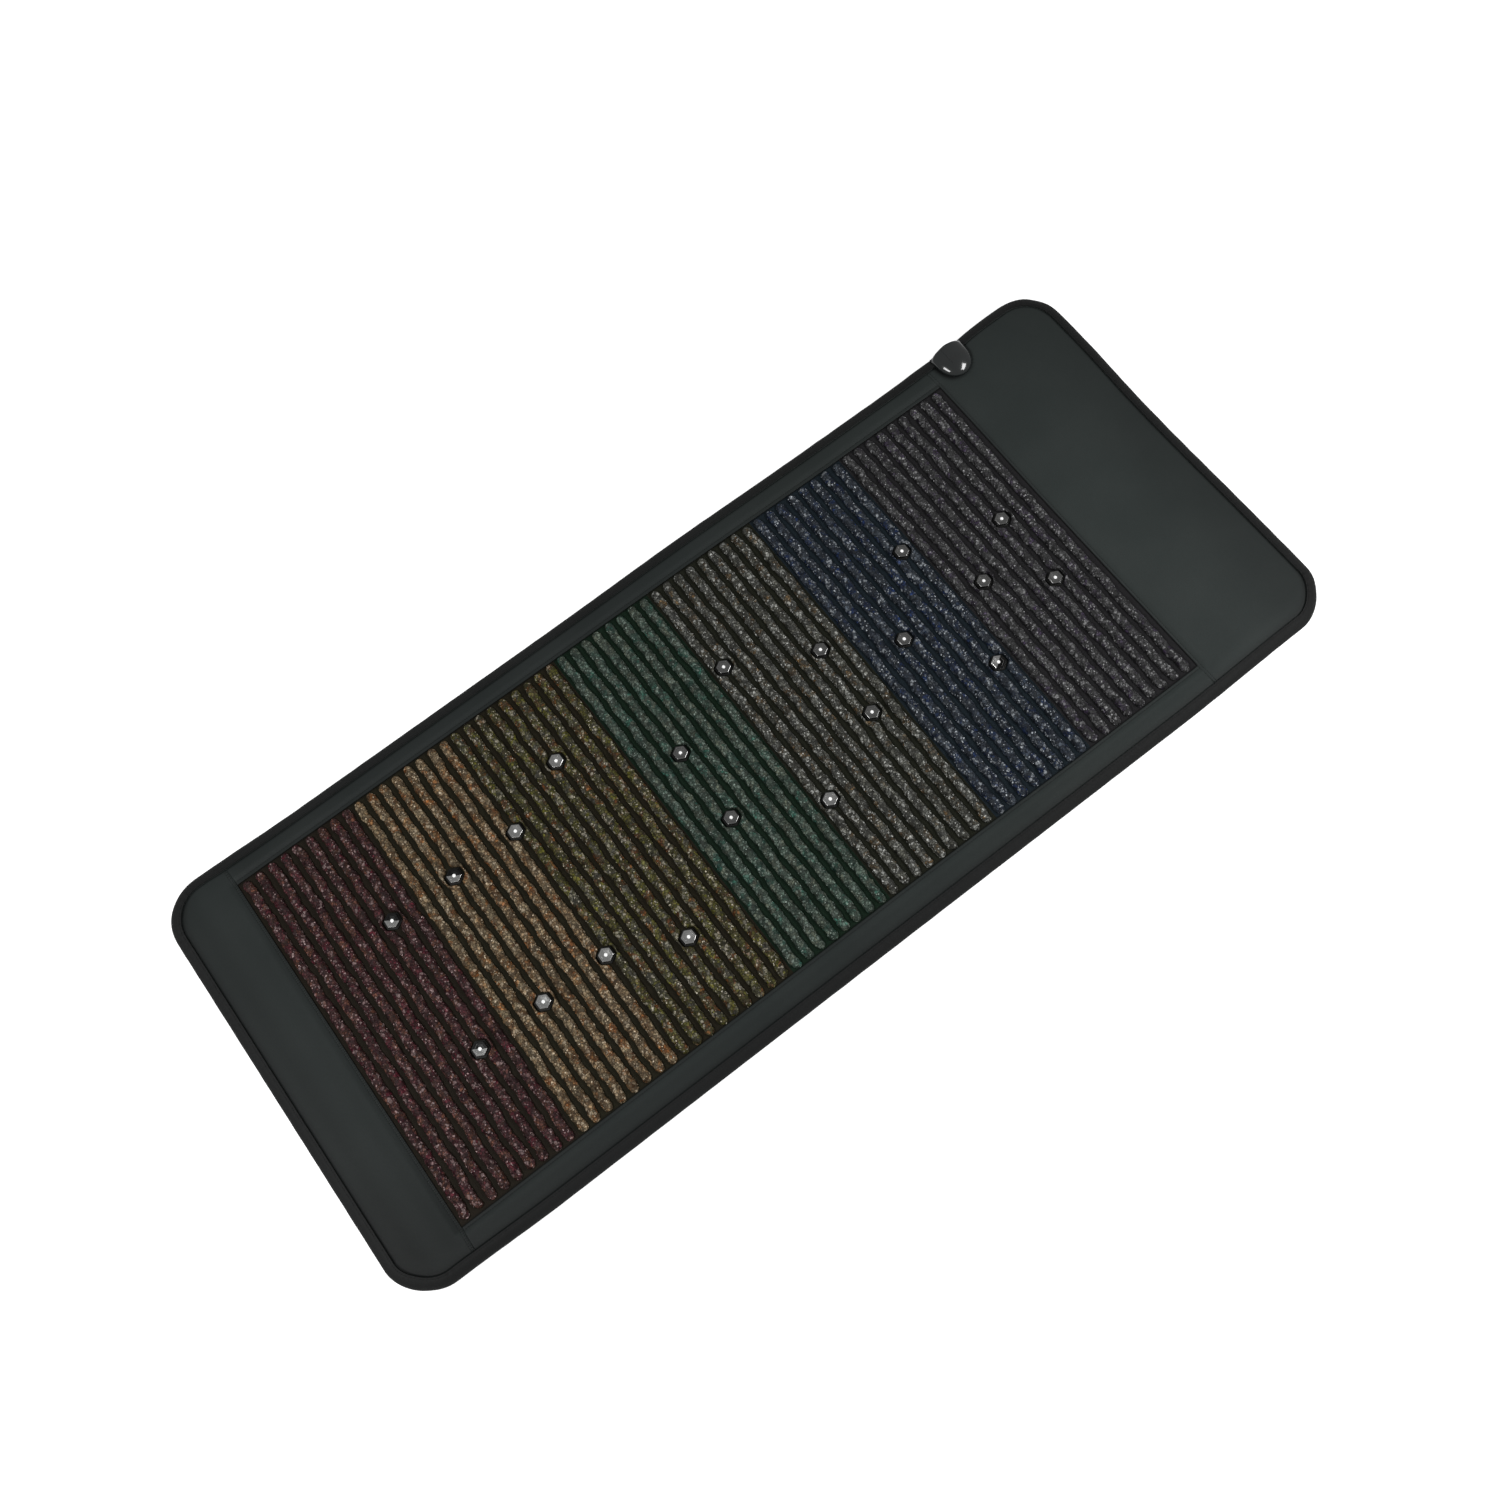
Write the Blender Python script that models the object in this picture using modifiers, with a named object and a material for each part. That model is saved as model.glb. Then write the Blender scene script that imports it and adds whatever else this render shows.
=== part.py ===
"""A heated crystal mat, built layer by layer in Blender.

The mat lies flat with +Z up and +X towards its head end. The origin is on the floor under the middle
of the mat. All lengths are in metres.
"""

import math

import bmesh
import bpy
from mathutils import Matrix, Vector

# Overall size and outline
MAT_WIDTH = 0.813
FOOT_PANEL = 0.132
HEAD_PANEL = 0.271
NEAR_STRIP = 0.0630
FAR_STRIP = 0.0520
CORNER_RADIUS = 0.081
CORNER_STEPS = 6

# Clearance between touching pieces
GAP = 0.0003

# Covers and the rounded rim that the edge binding wraps
LEATHER = 0.0012
BINDING = 0.0012
RIM_REACH = 0.024
RIM_HEIGHT = 0.009
BINDING_TOP_ANGLE = 79.0
BINDING_BOTTOM_ANGLE = 80.0
COVER_START_ANGLE = 3.0
BORDER_RISE = 0.0023
CROWN = 0.0010
BOTTOM_STEP_REACH = 0.008

# Thickness of each layer, from the floor up
FELT = 0.0018
FOAM = 0.0050
FOIL = 0.0003
CARRIER = 0.0010
HEATER_DIAMETER = 0.0022
COVER_FELT = 0.0010
HARNESS_BOARD = 0.0010
BACKING = 0.0006
LAYER_INSET = 0.016
FELT_INSET = 0.034

# Gem channels and the window that shows them
TUBE_PITCH = 0.0253
TUBE_WIDTH = 0.0178
TUBE_HEIGHT = 0.0078
TUBE_END_CLEARANCE = 0.004
TUBE_END_ROUND = 0.012
TUBE_SQUARENESS = 2.3
TUBE_SEGMENTS = 5
WEB = 0.0008
WINDOW_CORNER = 0.002
FOOT_MARGIN = 0.0148
HEAD_MARGIN = 0.0195
HEM_WIDTH = 0.010
HEM_SLOPE = 0.004
BACKING_MARGIN = 0.010
SEAM_OVERLAP = 0.0004
SEAM_GAP = 0.0006
BANDS = (
    ("red", 9, (0.135, 0.030, 0.050)),
    ("orange", 8, (0.290, 0.190, 0.110)),
    ("yellow", 9, (0.200, 0.165, 0.085)),
    ("green", 8, (0.085, 0.170, 0.130)),
    ("grey", 9, (0.170, 0.160, 0.140)),
    ("blue", 8, (0.075, 0.095, 0.180)),
    ("violet", 9, (0.120, 0.110, 0.130)),
)

# Light elements: gap after which tube, and distance from the window's middle line
LIGHT_ROWS = (
    (6, 0.134),
    (11, 0.134),
    (16, 0.134),
    (21, 0.194),
    (28, 0.073),
    (34, 0.152),
    (40, 0.073),
    (45, 0.0),
    (49, 0.134),
    (52, 0.0),
    (56, 0.073),
)
LIGHT_FLANGE_FLATS = 0.029
LIGHT_FLANGE = 0.0020
LIGHT_FLATS = 0.0228
LIGHT_HEIGHT = 0.0080
LIGHT_STEP_FLATS = 0.0158
LIGHT_STEP = 0.0010
LIGHT_LENS_RADIUS = 0.0032
LIGHT_LENS_HEIGHT = 0.0014
LIGHT_STEM_RADIUS = 0.0040
STEM_SIDES = 6
LIGHT_HOLE_CLEARANCE = 0.0006
BOARD_RADIUS = 0.010
BOARD_SIDES = 6
HARNESS_WIRE = 0.0009
HARNESS_TURN = 0.050

# Pulse coils in the foam core
COIL_COUNT = 4
COIL_SPACING = 0.380
COIL_RADIUS = 0.060
COIL_BORE_RADIUS = 0.034
COIL_THICKNESS = 0.0035
COIL_STEPS = 16
COIL_LEAD_DIAMETER = 0.0016
COIL_LEAD_DEPTH = 0.0007
COIL_LEAD_CLEARANCE = 0.006
COIL_LEAD_GROOVE_RADIUS = 0.0012
COIL_LEAD_STRAIGHT = 0.030
COIL_LEAD_SLANT = 0.090
COIL_LEAD_BEND = 0.014

# Heater cable: passes along the mat under the gem window
HEATER_PASSES = 12
HEATER_SIDE_INSET = 0.052
HEATER_END_INSET = 0.045
HEATER_TURN_STEPS = 6
HEATER_BEND = 0.020
SENSOR_PLACE = -0.10
CUTOUT_PLACE = 0.22
SENSOR_SIZE = (0.018, 0.008)
CUTOUT_SIZE = (0.026, 0.010)

# Connector housing on the far long edge
CONNECTOR_FROM_WINDOW = 0.056
CONNECTOR_WIDTH = 0.069
CONNECTOR_LENGTH = 0.058
CONNECTOR_END_INSET = 0.0003
CONNECTOR_SPRING_LIFT = 0.0015
CONNECTOR_EAR_SLOPE = 0.0010
CONNECTOR_DOME_HEIGHT = 0.0165
CONNECTOR_SQUARENESS = 2.1
CONNECTOR_DOME_CORNER = 0.010
CONNECTOR_LOW_CORNER = 0.0008
CONNECTOR_CAVITY_CORNER = 0.004
CONNECTOR_SPLIT_DROP = 0.0095
CONNECTOR_SKIRT_DROP = 0.0045
CONNECTOR_LEDGE = 0.004
CONNECTOR_WALL = 0.0022
CONNECTOR_FLOOR_LIFT = 0.0006
CONNECTOR_FLANGE = 0.0022
CONNECTOR_END_STEPS = 9
LEAD_INSIDE = 0.004
LEAD_SPACING = 0.012
BOSS_RADIUS = 0.0035
BOSS_PLACES = ((0.026, 0.010), (0.017, 0.042))
SCREW_SHANK_RADIUS = 0.0013
SCREW_HEAD_RADIUS = 0.0028
SCREW_HEAD_HEIGHT = 0.0018
SCREW_HEAD_LIFT = 0.0002
SCREW_LENGTH = 0.0190
SCREW_STEPS = 12

# Socket for the controller's plug
SOCKET_WIDTH = 0.0394
SOCKET_HEIGHT = 0.0130
SOCKET_DEPTH = 0.0220
SOCKET_LIFT = 0.0027
SOCKET_WALL = 0.0020
SOCKET_POCKET_DEPTH = 0.0140
SOCKET_FLANGE_PROUD = 0.0016
SOCKET_FLANGE_DEPTH = 0.0025
PIN_COLUMNS = 4
PIN_ROWS = 2
PIN_SPACING_X = 0.0072
PIN_SPACING_Z = 0.0044
PIN_RADIUS = 0.0008
PIN_REACH = 0.0060
BOARD_THICKNESS = 0.0016
BOARD_MARGIN = 0.0010

# Heights of the stacked layers
FELT_Z = LEATHER + GAP
FOAM_Z = FELT_Z + FELT + GAP
FOIL_Z = FOAM_Z + FOAM + GAP
CARRIER_Z = FOIL_Z + FOIL + GAP
HEATER_Z = CARRIER_Z + CARRIER + GAP
COVER_FELT_Z = HEATER_Z + HEATER_DIAMETER + GAP
HARNESS_Z = COVER_FELT_Z + COVER_FELT + GAP
BACKING_Z = HARNESS_Z + HARNESS_BOARD + GAP
WEB_Z = BACKING_Z + BACKING + GAP
HEM_TOP = WEB_Z + 2 * LEATHER
TOP_LEVEL = HEM_TOP + BORDER_RISE

# The rim is two quarter ellipses that meet at RIM_HEIGHT
EDGE_INSET = BINDING + GAP
RIM_UP = TOP_LEVEL - RIM_HEIGHT
RIM_DOWN = RIM_HEIGHT - EDGE_INSET

# Places along and across the mat
TUBE_COUNT = sum(count for _, count, _ in BANDS)
ROWS_LENGTH = TUBE_PITCH * (TUBE_COUNT - 1)
MAT_LENGTH = FOOT_PANEL + FOOT_MARGIN + ROWS_LENGTH + HEAD_MARGIN + HEAD_PANEL
WINDOW_X0 = FOOT_PANEL - MAT_LENGTH / 2
WINDOW_X1 = MAT_LENGTH / 2 - HEAD_PANEL
WINDOW_WIDTH = MAT_WIDTH - NEAR_STRIP - FAR_STRIP
WINDOW_MIDDLE = (NEAR_STRIP - FAR_STRIP) / 2
FIRST_TUBE_X = WINDOW_X0 + FOOT_MARGIN
ROWS_CENTRE_X = FIRST_TUBE_X + ROWS_LENGTH / 2
TUBE_LENGTH = WINDOW_WIDTH - 2 * TUBE_END_CLEARANCE
HEATER_SPACING = (WINDOW_WIDTH - 2 * HEATER_SIDE_INSET) / (HEATER_PASSES - 1)
COIL_LEAD_RUN_Y = COIL_RADIUS + COIL_LEAD_CLEARANCE

# The connector
CONNECTOR_X = WINDOW_X1 + CONNECTOR_FROM_WINDOW
CONNECTOR_END_Y = MAT_WIDTH / 2 - CONNECTOR_END_INSET
CONNECTOR_STRAIGHT = CONNECTOR_LENGTH - CONNECTOR_WIDTH / 2
CONNECTOR_INNER_WALL = CONNECTOR_LENGTH - CONNECTOR_LEDGE - CONNECTOR_WALL
CONNECTOR_SPLIT_HEIGHT = TOP_LEVEL - CONNECTOR_SPLIT_DROP
CONNECTOR_SKIRT_HEIGHT = TOP_LEVEL - CONNECTOR_SKIRT_DROP
SOCKET_CENTRE_Z = TOP_LEVEL + SOCKET_LIFT
FAR_ABOVE = 0.1

PARTS = None
CUTTERS = None


def clear_scene():
    """Remove every object and make one collection for the parts and one for the cutters."""
    global PARTS, CUTTERS
    for obj in list(bpy.data.objects):
        bpy.data.objects.remove(obj)
    PARTS = bpy.data.collections.new("heated_crystal_mat")
    CUTTERS = bpy.data.collections.new("cutters")
    bpy.context.scene.collection.children.link(PARTS)
    bpy.context.scene.collection.children.link(CUTTERS)


def material(name, colour, roughness, metallic=0.0):
    """A Principled BSDF with one colour."""
    made = bpy.data.materials.get(name)
    if made is None:
        made = bpy.data.materials.new(name)
        made.use_nodes = True
        shader = made.node_tree.nodes["Principled BSDF"]
        shader.inputs["Base Color"].default_value = (*colour, 1.0)
        shader.inputs["Roughness"].default_value = roughness
        shader.inputs["Metallic"].default_value = metallic
        made.diffuse_color = (*colour, 1.0)
    return made


def add_part(name, mesh, look, smooth_angle=None):
    """Link a mesh as a named part with its material."""
    obj = bpy.data.objects.new(name, mesh)
    PARTS.objects.link(obj)
    if not mesh.materials:
        mesh.materials.append(look)
    if smooth_angle is not None:
        mesh.shade_smooth()
        mesh.set_sharp_from_angle(angle=math.radians(smooth_angle))
    return obj


def add_cutter(name, mesh):
    """Link a mesh as a cutter, which isn't a part."""
    obj = bpy.data.objects.new(name, mesh)
    CUTTERS.objects.link(obj)
    obj.hide_render = True
    obj.display_type = "WIRE"
    return obj


def boolean(obj, operation, other):
    """Add an exact Boolean modifier."""
    modifier = obj.modifiers.new(operation.lower() + "_" + other.name, "BOOLEAN")
    modifier.operation = operation
    modifier.solver = "EXACT"
    modifier.object = other


def mesh_from(name, bm):
    """Turn a bmesh into mesh data with its faces pointing out."""
    bmesh.ops.recalc_face_normals(bm, faces=bm.faces)
    mesh = bpy.data.meshes.new(name)
    bm.to_mesh(mesh)
    bm.free()
    return mesh


def loft(name, loops, ring=False):
    """A closed mesh through loops of as many points each: capped at both ends, or joined end to end."""
    bm = bmesh.new()
    rows = [[bm.verts.new(point) for point in loop] for loop in loops]
    pairs = list(zip(rows, rows[1:]))
    if ring:
        pairs.append((rows[-1], rows[0]))
    else:
        bm.faces.new(rows[0])
        bm.faces.new(rows[-1])
    for first, second in pairs:
        for i in range(len(first)):
            j = (i + 1) % len(first)
            bm.faces.new((first[i], first[j], second[j], second[i]))
    return mesh_from(name, bm)


def flat_solid(name, outline, bottom, top):
    """A flat outline raised to a solid: a filled 2D curve with an extrude, made a mesh."""
    curve = bpy.data.curves.new(name, "CURVE")
    curve.dimensions = "2D"
    curve.fill_mode = "BOTH"
    curve.extrude = (top - bottom) / 2
    spline = curve.splines.new("POLY")
    spline.points.add(len(outline) - 1)
    for point, place in zip(spline.points, outline):
        point.co = (place[0], place[1], 0.0, 1.0)
    spline.use_cyclic_u = True
    return mesh_of_curve(name, curve, Matrix.Translation((0, 0, (top + bottom) / 2)))


def round_tube(name, route, diameter, bevel_resolution=1):
    """A round tube with filled caps along a route of points, made a mesh."""
    curve = bpy.data.curves.new(name, "CURVE")
    curve.dimensions = "3D"
    curve.bevel_depth = diameter / 2
    curve.bevel_resolution = bevel_resolution
    curve.use_fill_caps = True
    spline = curve.splines.new("POLY")
    spline.points.add(len(route) - 1)
    for point, place in zip(spline.points, route):
        point.co = (*place, 1.0)
    return mesh_of_curve(name, curve, Matrix.Identity(4))


def mesh_of_curve(name, curve, place):
    """Evaluate a curve, weld its caps and put it in place."""
    obj = bpy.data.objects.new(name + "_curve", curve)
    bpy.context.scene.collection.objects.link(obj)
    obj.matrix_world = place
    graph = bpy.context.evaluated_depsgraph_get()
    mesh = bpy.data.meshes.new_from_object(obj.evaluated_get(graph))
    mesh.transform(place)
    bpy.data.objects.remove(obj)
    bpy.data.curves.remove(curve)
    bm = bmesh.new()
    bm.from_mesh(mesh)
    bpy.data.meshes.remove(mesh)
    bmesh.ops.remove_doubles(bm, verts=bm.verts, dist=0.00001)
    return mesh_from(name, bm)


def box_mesh(name, low, high):
    """A box between two corners."""
    bm = bmesh.new()
    size = Vector(high) - Vector(low)
    centre = (Vector(high) + Vector(low)) / 2
    bmesh.ops.create_cube(bm, size=1.0, matrix=Matrix.Translation(centre) @ Matrix.Diagonal((*size, 1.0)))
    return mesh_from(name, bm)


def cylinders_mesh(name, places, radius, bottom, top, sides):
    """Upright cylinders or prisms of one size, at several places."""
    bm = bmesh.new()
    for x, y in places:
        bmesh.ops.create_cone(
            bm,
            cap_ends=True,
            segments=sides,
            radius1=radius,
            radius2=radius,
            depth=top - bottom,
            matrix=Matrix.Translation((x, y, (top + bottom) / 2)),
        )
    return mesh_from(name, bm)


def rounded_loop(box, radius, z):
    """Points round a rounded rectangle, anticlockwise."""
    x0, x1, y0, y1 = box
    centres = (
        (x1 - radius, y1 - radius),
        (x0 + radius, y1 - radius),
        (x0 + radius, y0 + radius),
        (x1 - radius, y0 + radius),
    )
    points = []
    for quarter, (cx, cy) in enumerate(centres):
        for step in range(CORNER_STEPS + 1):
            angle = math.pi / 2 * (quarter + step / CORNER_STEPS)
            points.append(Vector((cx + radius * math.cos(angle), cy + radius * math.sin(angle), z)))
    return points


def rim_loop(inset, z):
    """The mat's outline, moved in by an inset."""
    box = (inset - MAT_LENGTH / 2, MAT_LENGTH / 2 - inset, inset - MAT_WIDTH / 2, MAT_WIDTH / 2 - inset)
    return rounded_loop(box, CORNER_RADIUS - inset, z)


def window_loop(margin, z):
    """The window's outline, moved out by a margin."""
    half = WINDOW_WIDTH / 2 + margin
    box = (WINDOW_X0 - margin, WINDOW_X1 + margin, WINDOW_MIDDLE - half, WINDOW_MIDDLE + half)
    return rounded_loop(box, WINDOW_CORNER + margin, z)


def border_loop(share, z):
    """A loop part of the way from the inner end of the rim to the slope beside the window's hem."""
    outer = rim_loop(EDGE_INSET + RIM_REACH, z)
    inner = window_loop(HEM_WIDTH + HEM_SLOPE, z)
    return [a.lerp(b, share) for a, b in zip(outer, inner)]


def rim_curve(angle, offset, up=True):
    """A loop on the rim's ellipse at an angle in degrees from its outermost line, offset outwards."""
    a = math.radians(angle)
    rise = RIM_UP if up else RIM_DOWN
    normal = Vector((math.cos(a) / RIM_REACH, math.sin(a) / rise)).normalized()
    inset = EDGE_INSET + RIM_REACH * (1 - math.cos(a)) - offset * normal.x
    height = rise * math.sin(a) + offset * normal.y
    return rim_loop(inset, RIM_HEIGHT + (height if up else -height))


def border_top(lift, shares=(0.25, 0.5, 0.75)):
    """Loops over the leather border from the end of the rim to the window's slope, raised by a lift."""
    rises = [CROWN * math.sin(math.pi * share) for share in shares]
    return [border_loop(share, TOP_LEVEL + rise + lift) for share, rise in zip(shares, rises)]


def dee_loop(half_width, end_y, z, corner=CONNECTOR_LOW_CORNER):
    """A D-shaped outline at the connector: a flat end with round corners, straight sides, a half circle."""
    points = []
    for side, first in ((1, 0), (-1, 2)):
        for step in range(3):
            angle = math.pi / 4 * (first + step)
            x = side * (half_width - corner) + corner * math.cos(angle)
            points.append(Vector((CONNECTOR_X + x, end_y - corner + corner * math.sin(angle), z)))
    for step in range(CONNECTOR_END_STEPS + 1):
        angle = math.pi * (1 + step / CONNECTOR_END_STEPS)
        x = CONNECTOR_X + half_width * math.cos(angle)
        points.append(Vector((x, CONNECTOR_END_Y - CONNECTOR_STRAIGHT + half_width * math.sin(angle), z)))
    return points


def dee_prism(name, inset, end_y, bottom, top):
    """An upright prism on the connector's outline, moved in by an inset."""
    half = CONNECTOR_WIDTH / 2 - inset
    return loft(name, [dee_loop(half, end_y, z) for z in (bottom, top)])


def dome_loops(wall, corner, low_loops, end_y):
    """Loops up a dome with round end corners, above some low loops, a wall inside the outer surface."""
    half = CONNECTOR_WIDTH / 2 - wall
    spring = TOP_LEVEL + CONNECTOR_SPRING_LIFT
    height = CONNECTOR_DOME_HEIGHT - wall
    power = 2 / CONNECTOR_SQUARENESS
    loops = list(low_loops)
    for angle in (0, 18, 34, 49, 63, 76):
        share = math.cos(math.radians(angle)) ** power
        up = spring + height * math.sin(math.radians(angle)) ** power
        loops.append(dee_loop(half * share, end_y, up, corner * share))
    return loops


def hexagon(flats, x, y, z):
    """Six points with corners towards plus and minus Y."""
    radius = flats / math.sqrt(3)
    angles = [math.pi * k / 3 for k in range(6)]
    return [Vector((x + radius * math.sin(a), y + radius * math.cos(a), z)) for a in angles]


def light_places():
    """Where each light element stands, from the foot end to the head end and near side first."""
    places = []
    for tube, offset in LIGHT_ROWS:
        x = FIRST_TUBE_X + TUBE_PITCH * (tube + 0.5)
        sides = (-1, 1) if offset else (1,)
        places += [(x, WINDOW_MIDDLE + side * offset) for side in sides]
    return places


def connector_point(across, inward):
    """A point in the connector's plan, from its middle line and its flat end."""
    return (CONNECTOR_X + across, CONNECTOR_END_Y - inward)


def boss_places():
    """The four screw places in the connector."""
    return [connector_point(side * across, inward) for across, inward in BOSS_PLACES for side in (-1, 1)]


def make_pocket_cutters():
    """The hole through the mat for the connector, and the shallow recess under it for its flange."""
    beyond = CONNECTOR_END_Y + 0.02
    pocket = add_cutter(
        "connector_pocket",
        dee_prism("connector_pocket", CONNECTOR_LEDGE - GAP, beyond, -0.01, FAR_ABOVE),
    )
    recess = add_cutter(
        "connector_recess",
        dee_prism(
            "connector_recess", -2 * GAP, beyond, -0.01, CONNECTOR_FLOOR_LIFT + CONNECTOR_FLANGE + GAP
        ),
    )
    return pocket, recess


def build_bottom_cover(look, pocket, recess):
    """The base sheet: flat on the floor, stepped up under the binding and curved up to the rim."""
    angles = (COVER_START_ANGLE, 30, 55, BINDING_BOTTOM_ANGLE)
    step_inset = EDGE_INSET + RIM_REACH
    low = [rim_curve(angle, 0, up=False) for angle in angles]
    low += [rim_loop(step_inset, EDGE_INSET), rim_loop(step_inset + BOTTOM_STEP_REACH, 0)]
    high = [rim_curve(angle, -LEATHER, up=False) for angle in angles]
    high += [rim_loop(step_inset, EDGE_INSET + LEATHER), rim_loop(step_inset + BOTTOM_STEP_REACH, LEATHER)]
    cover = add_part("bottom_cover", loft("bottom_cover", low[::-1] + high), look, 40)
    boolean(cover, "DIFFERENCE", pocket)
    boolean(cover, "DIFFERENCE", recess)


def build_layer(name, inset, bottom, thickness, look, cutters):
    """A flat layer with the mat's outline, cut for the connector."""
    layer = add_part(name, flat_solid(name, rim_loop(inset, 0), bottom, bottom + thickness), look)
    for cutter in cutters:
        boolean(layer, "DIFFERENCE", cutter)
    return layer


def ring_profile(name, bore, radius, bottom, top):
    """A flat ring turned from a rectangle with a Screw modifier, kept as mesh data."""
    mesh = bpy.data.meshes.new(name)
    corners = [(radius, 0, top), (radius, 0, bottom), (bore, 0, bottom), (bore, 0, top)]
    mesh.from_pydata(corners, [(i, (i + 1) % 4) for i in range(4)], [])
    return mesh


def turn(obj, steps):
    """Turn an object's profile about Z."""
    screw = obj.modifiers.new("turn", "SCREW")
    screw.steps = steps
    screw.render_steps = steps
    screw.use_merge_vertices = True
    screw.merge_threshold = 0.00001


def build_foam_and_coils(foam_look, coil_look, pocket):
    """The foam core with a round pocket for each pulse coil and a groove for the coils' leads."""
    foam = build_layer("foam_core", LAYER_INSET, FOAM_Z, FOAM, foam_look, [pocket])
    top = FOAM_Z + FOAM
    bottom = top - COIL_THICKNESS
    centres = [ROWS_CENTRE_X + COIL_SPACING * (i - (COIL_COUNT - 1) / 2) for i in range(COIL_COUNT)]
    for number, x in enumerate(centres, start=1):
        name = f"coil_pocket_{number}"
        profile = ring_profile(name, COIL_BORE_RADIUS - GAP, COIL_RADIUS + GAP, bottom - GAP, top + GAP)
        cutter = add_cutter(name, profile)
        cutter.location = (x, 0, 0)
        turn(cutter, COIL_STEPS)
        boolean(foam, "DIFFERENCE", cutter)
        name = f"pulse_coil_{number}"
        coil = add_part(name, ring_profile(name, COIL_BORE_RADIUS, COIL_RADIUS, bottom, top), coil_look)
        coil.location = (x, 0, 0)
        turn(coil, COIL_STEPS)
    lead_z = top - COIL_LEAD_DEPTH
    start_x, start_y = connector_point(-LEAD_SPACING, CONNECTOR_INNER_WALL - LEAD_INSIDE)
    slant_y = start_y - COIL_LEAD_STRAIGHT
    corner_x = WINDOW_X1 - HEATER_END_INSET
    bend = COIL_LEAD_BEND
    route = [
        (start_x, start_y, lead_z),
        (start_x, slant_y, lead_z),
        (start_x - 0.4 * bend, slant_y - bend, lead_z),
        (corner_x + 0.4 * bend, slant_y - COIL_LEAD_SLANT, lead_z),
        (corner_x, slant_y - COIL_LEAD_SLANT - bend, lead_z),
        (corner_x, COIL_LEAD_RUN_Y + bend, lead_z),
        (corner_x - 0.3 * bend, COIL_LEAD_RUN_Y + 0.3 * bend, lead_z),
        (corner_x - bend, COIL_LEAD_RUN_Y, lead_z),
        (centres[0] - COIL_RADIUS / 3, COIL_LEAD_RUN_Y, lead_z),
    ]
    groove_route = route[:-1] + [(centres[0] - COIL_RADIUS / 2, COIL_LEAD_RUN_Y, lead_z)]
    groove = round_tube("coil_lead_groove", groove_route, 2 * COIL_LEAD_GROOVE_RADIUS)
    groove = add_cutter("coil_lead_groove", groove)
    boolean(foam, "DIFFERENCE", groove)
    add_part("coil_leads", round_tube("coil_leads", route, COIL_LEAD_DIAMETER), coil_look, 60)


def heater_route():
    """The heater cable's centre line, from inside the connector through its passes to its end."""
    z = HEATER_Z + HEATER_DIAMETER / 2
    start_x, start_y = connector_point(0, CONNECTOR_INNER_WALL - LEAD_INSIDE)
    first_y = HEATER_SPACING * (HEATER_PASSES - 1) / 2
    bend = HEATER_BEND
    route = [(start_x, start_y, z), (start_x, first_y + bend, z)]
    for step in range(1, HEATER_TURN_STEPS):
        angle = math.pi / 2 * step / HEATER_TURN_STEPS
        route.append((start_x - bend * (1 - math.cos(angle)), first_y + bend * (1 - math.sin(angle)), z))
    x0 = WINDOW_X0 + HEATER_END_INSET
    x1 = WINDOW_X1 - HEATER_END_INSET
    radius = HEATER_SPACING / 2
    for index in range(HEATER_PASSES - 1):
        y = first_y - HEATER_SPACING * index - radius
        end_x, side = (x0, -1) if index % 2 == 0 else (x1, 1)
        for step in range(HEATER_TURN_STEPS + 1):
            angle = math.pi * step / HEATER_TURN_STEPS
            route.append((end_x + side * radius * math.sin(angle), y + radius * math.cos(angle), z))
    last_x = x1 if HEATER_PASSES % 2 == 0 else x0
    route.append((last_x, -first_y, z))
    route.insert(2 + HEATER_TURN_STEPS - 1, (start_x - bend, first_y, z))
    return route


def build_heater(cable_look, sensor_look):
    """The heater cable in its passes, with the temperature sensor and the thermal cut-out between them."""
    cable = round_tube("heater_cable", heater_route(), HEATER_DIAMETER, 0)
    add_part("heater_cable", cable, cable_look, 70)
    pieces = (
        ("temperature_sensor", SENSOR_SIZE, SENSOR_PLACE),
        ("thermal_cutout", CUTOUT_SIZE, CUTOUT_PLACE),
    )
    for name, (length, width), x in pieces:
        box = (ROWS_CENTRE_X + x - length / 2, ROWS_CENTRE_X + x + length / 2, -width / 2, width / 2)
        outline = rounded_loop(box, width / 4, 0)
        solid = flat_solid(name, outline, HEATER_Z, HEATER_Z + HEATER_DIAMETER)
        add_part(name, solid, sensor_look)


def build_light_harness(look):
    """Round boards under the lights, joined by one wire that starts in the connector."""
    places = light_places()
    near = [place for place in places if place[1] <= WINDOW_MIDDLE]
    far = [place for place in places if place[1] > WINDOW_MIDDLE]
    z = HARNESS_Z + HARNESS_BOARD / 2
    start = connector_point(LEAD_SPACING, CONNECTOR_INNER_WALL - LEAD_INSIDE)
    turn_point = (start[0], far[-1][1] + HARNESS_TURN)
    route = [(*place, z) for place in [start, turn_point] + far[::-1] + near]
    top = HARNESS_Z + HARNESS_BOARD
    boards = cylinders_mesh("light_boards", places, BOARD_RADIUS, HARNESS_Z, top, BOARD_SIDES)
    harness = add_part("light_harness", boards, look)
    wire = add_cutter("light_wire", round_tube("light_wire", route, HARNESS_WIRE, 0))
    boolean(harness, "UNION", wire)
    return add_cutter("light_wire_groove", round_tube("light_wire_groove", route[:3], HARNESS_WIRE + 4 * GAP))


def build_backing(look):
    """The fabric that carries the gem channels, with a hole under each light."""
    bottom, top = BACKING_Z, BACKING_Z + BACKING
    outline = window_loop(BACKING_MARGIN, 0)
    backing = add_part("gem_backing", flat_solid("gem_backing", outline, bottom, top), look)
    radius = LIGHT_STEM_RADIUS + LIGHT_HOLE_CLEARANCE
    holes = cylinders_mesh("light_stem_holes", light_places(), radius, bottom - 0.01, top + 0.01, STEM_SIDES)
    boolean(backing, "DIFFERENCE", add_cutter("light_stem_holes", holes))


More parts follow.
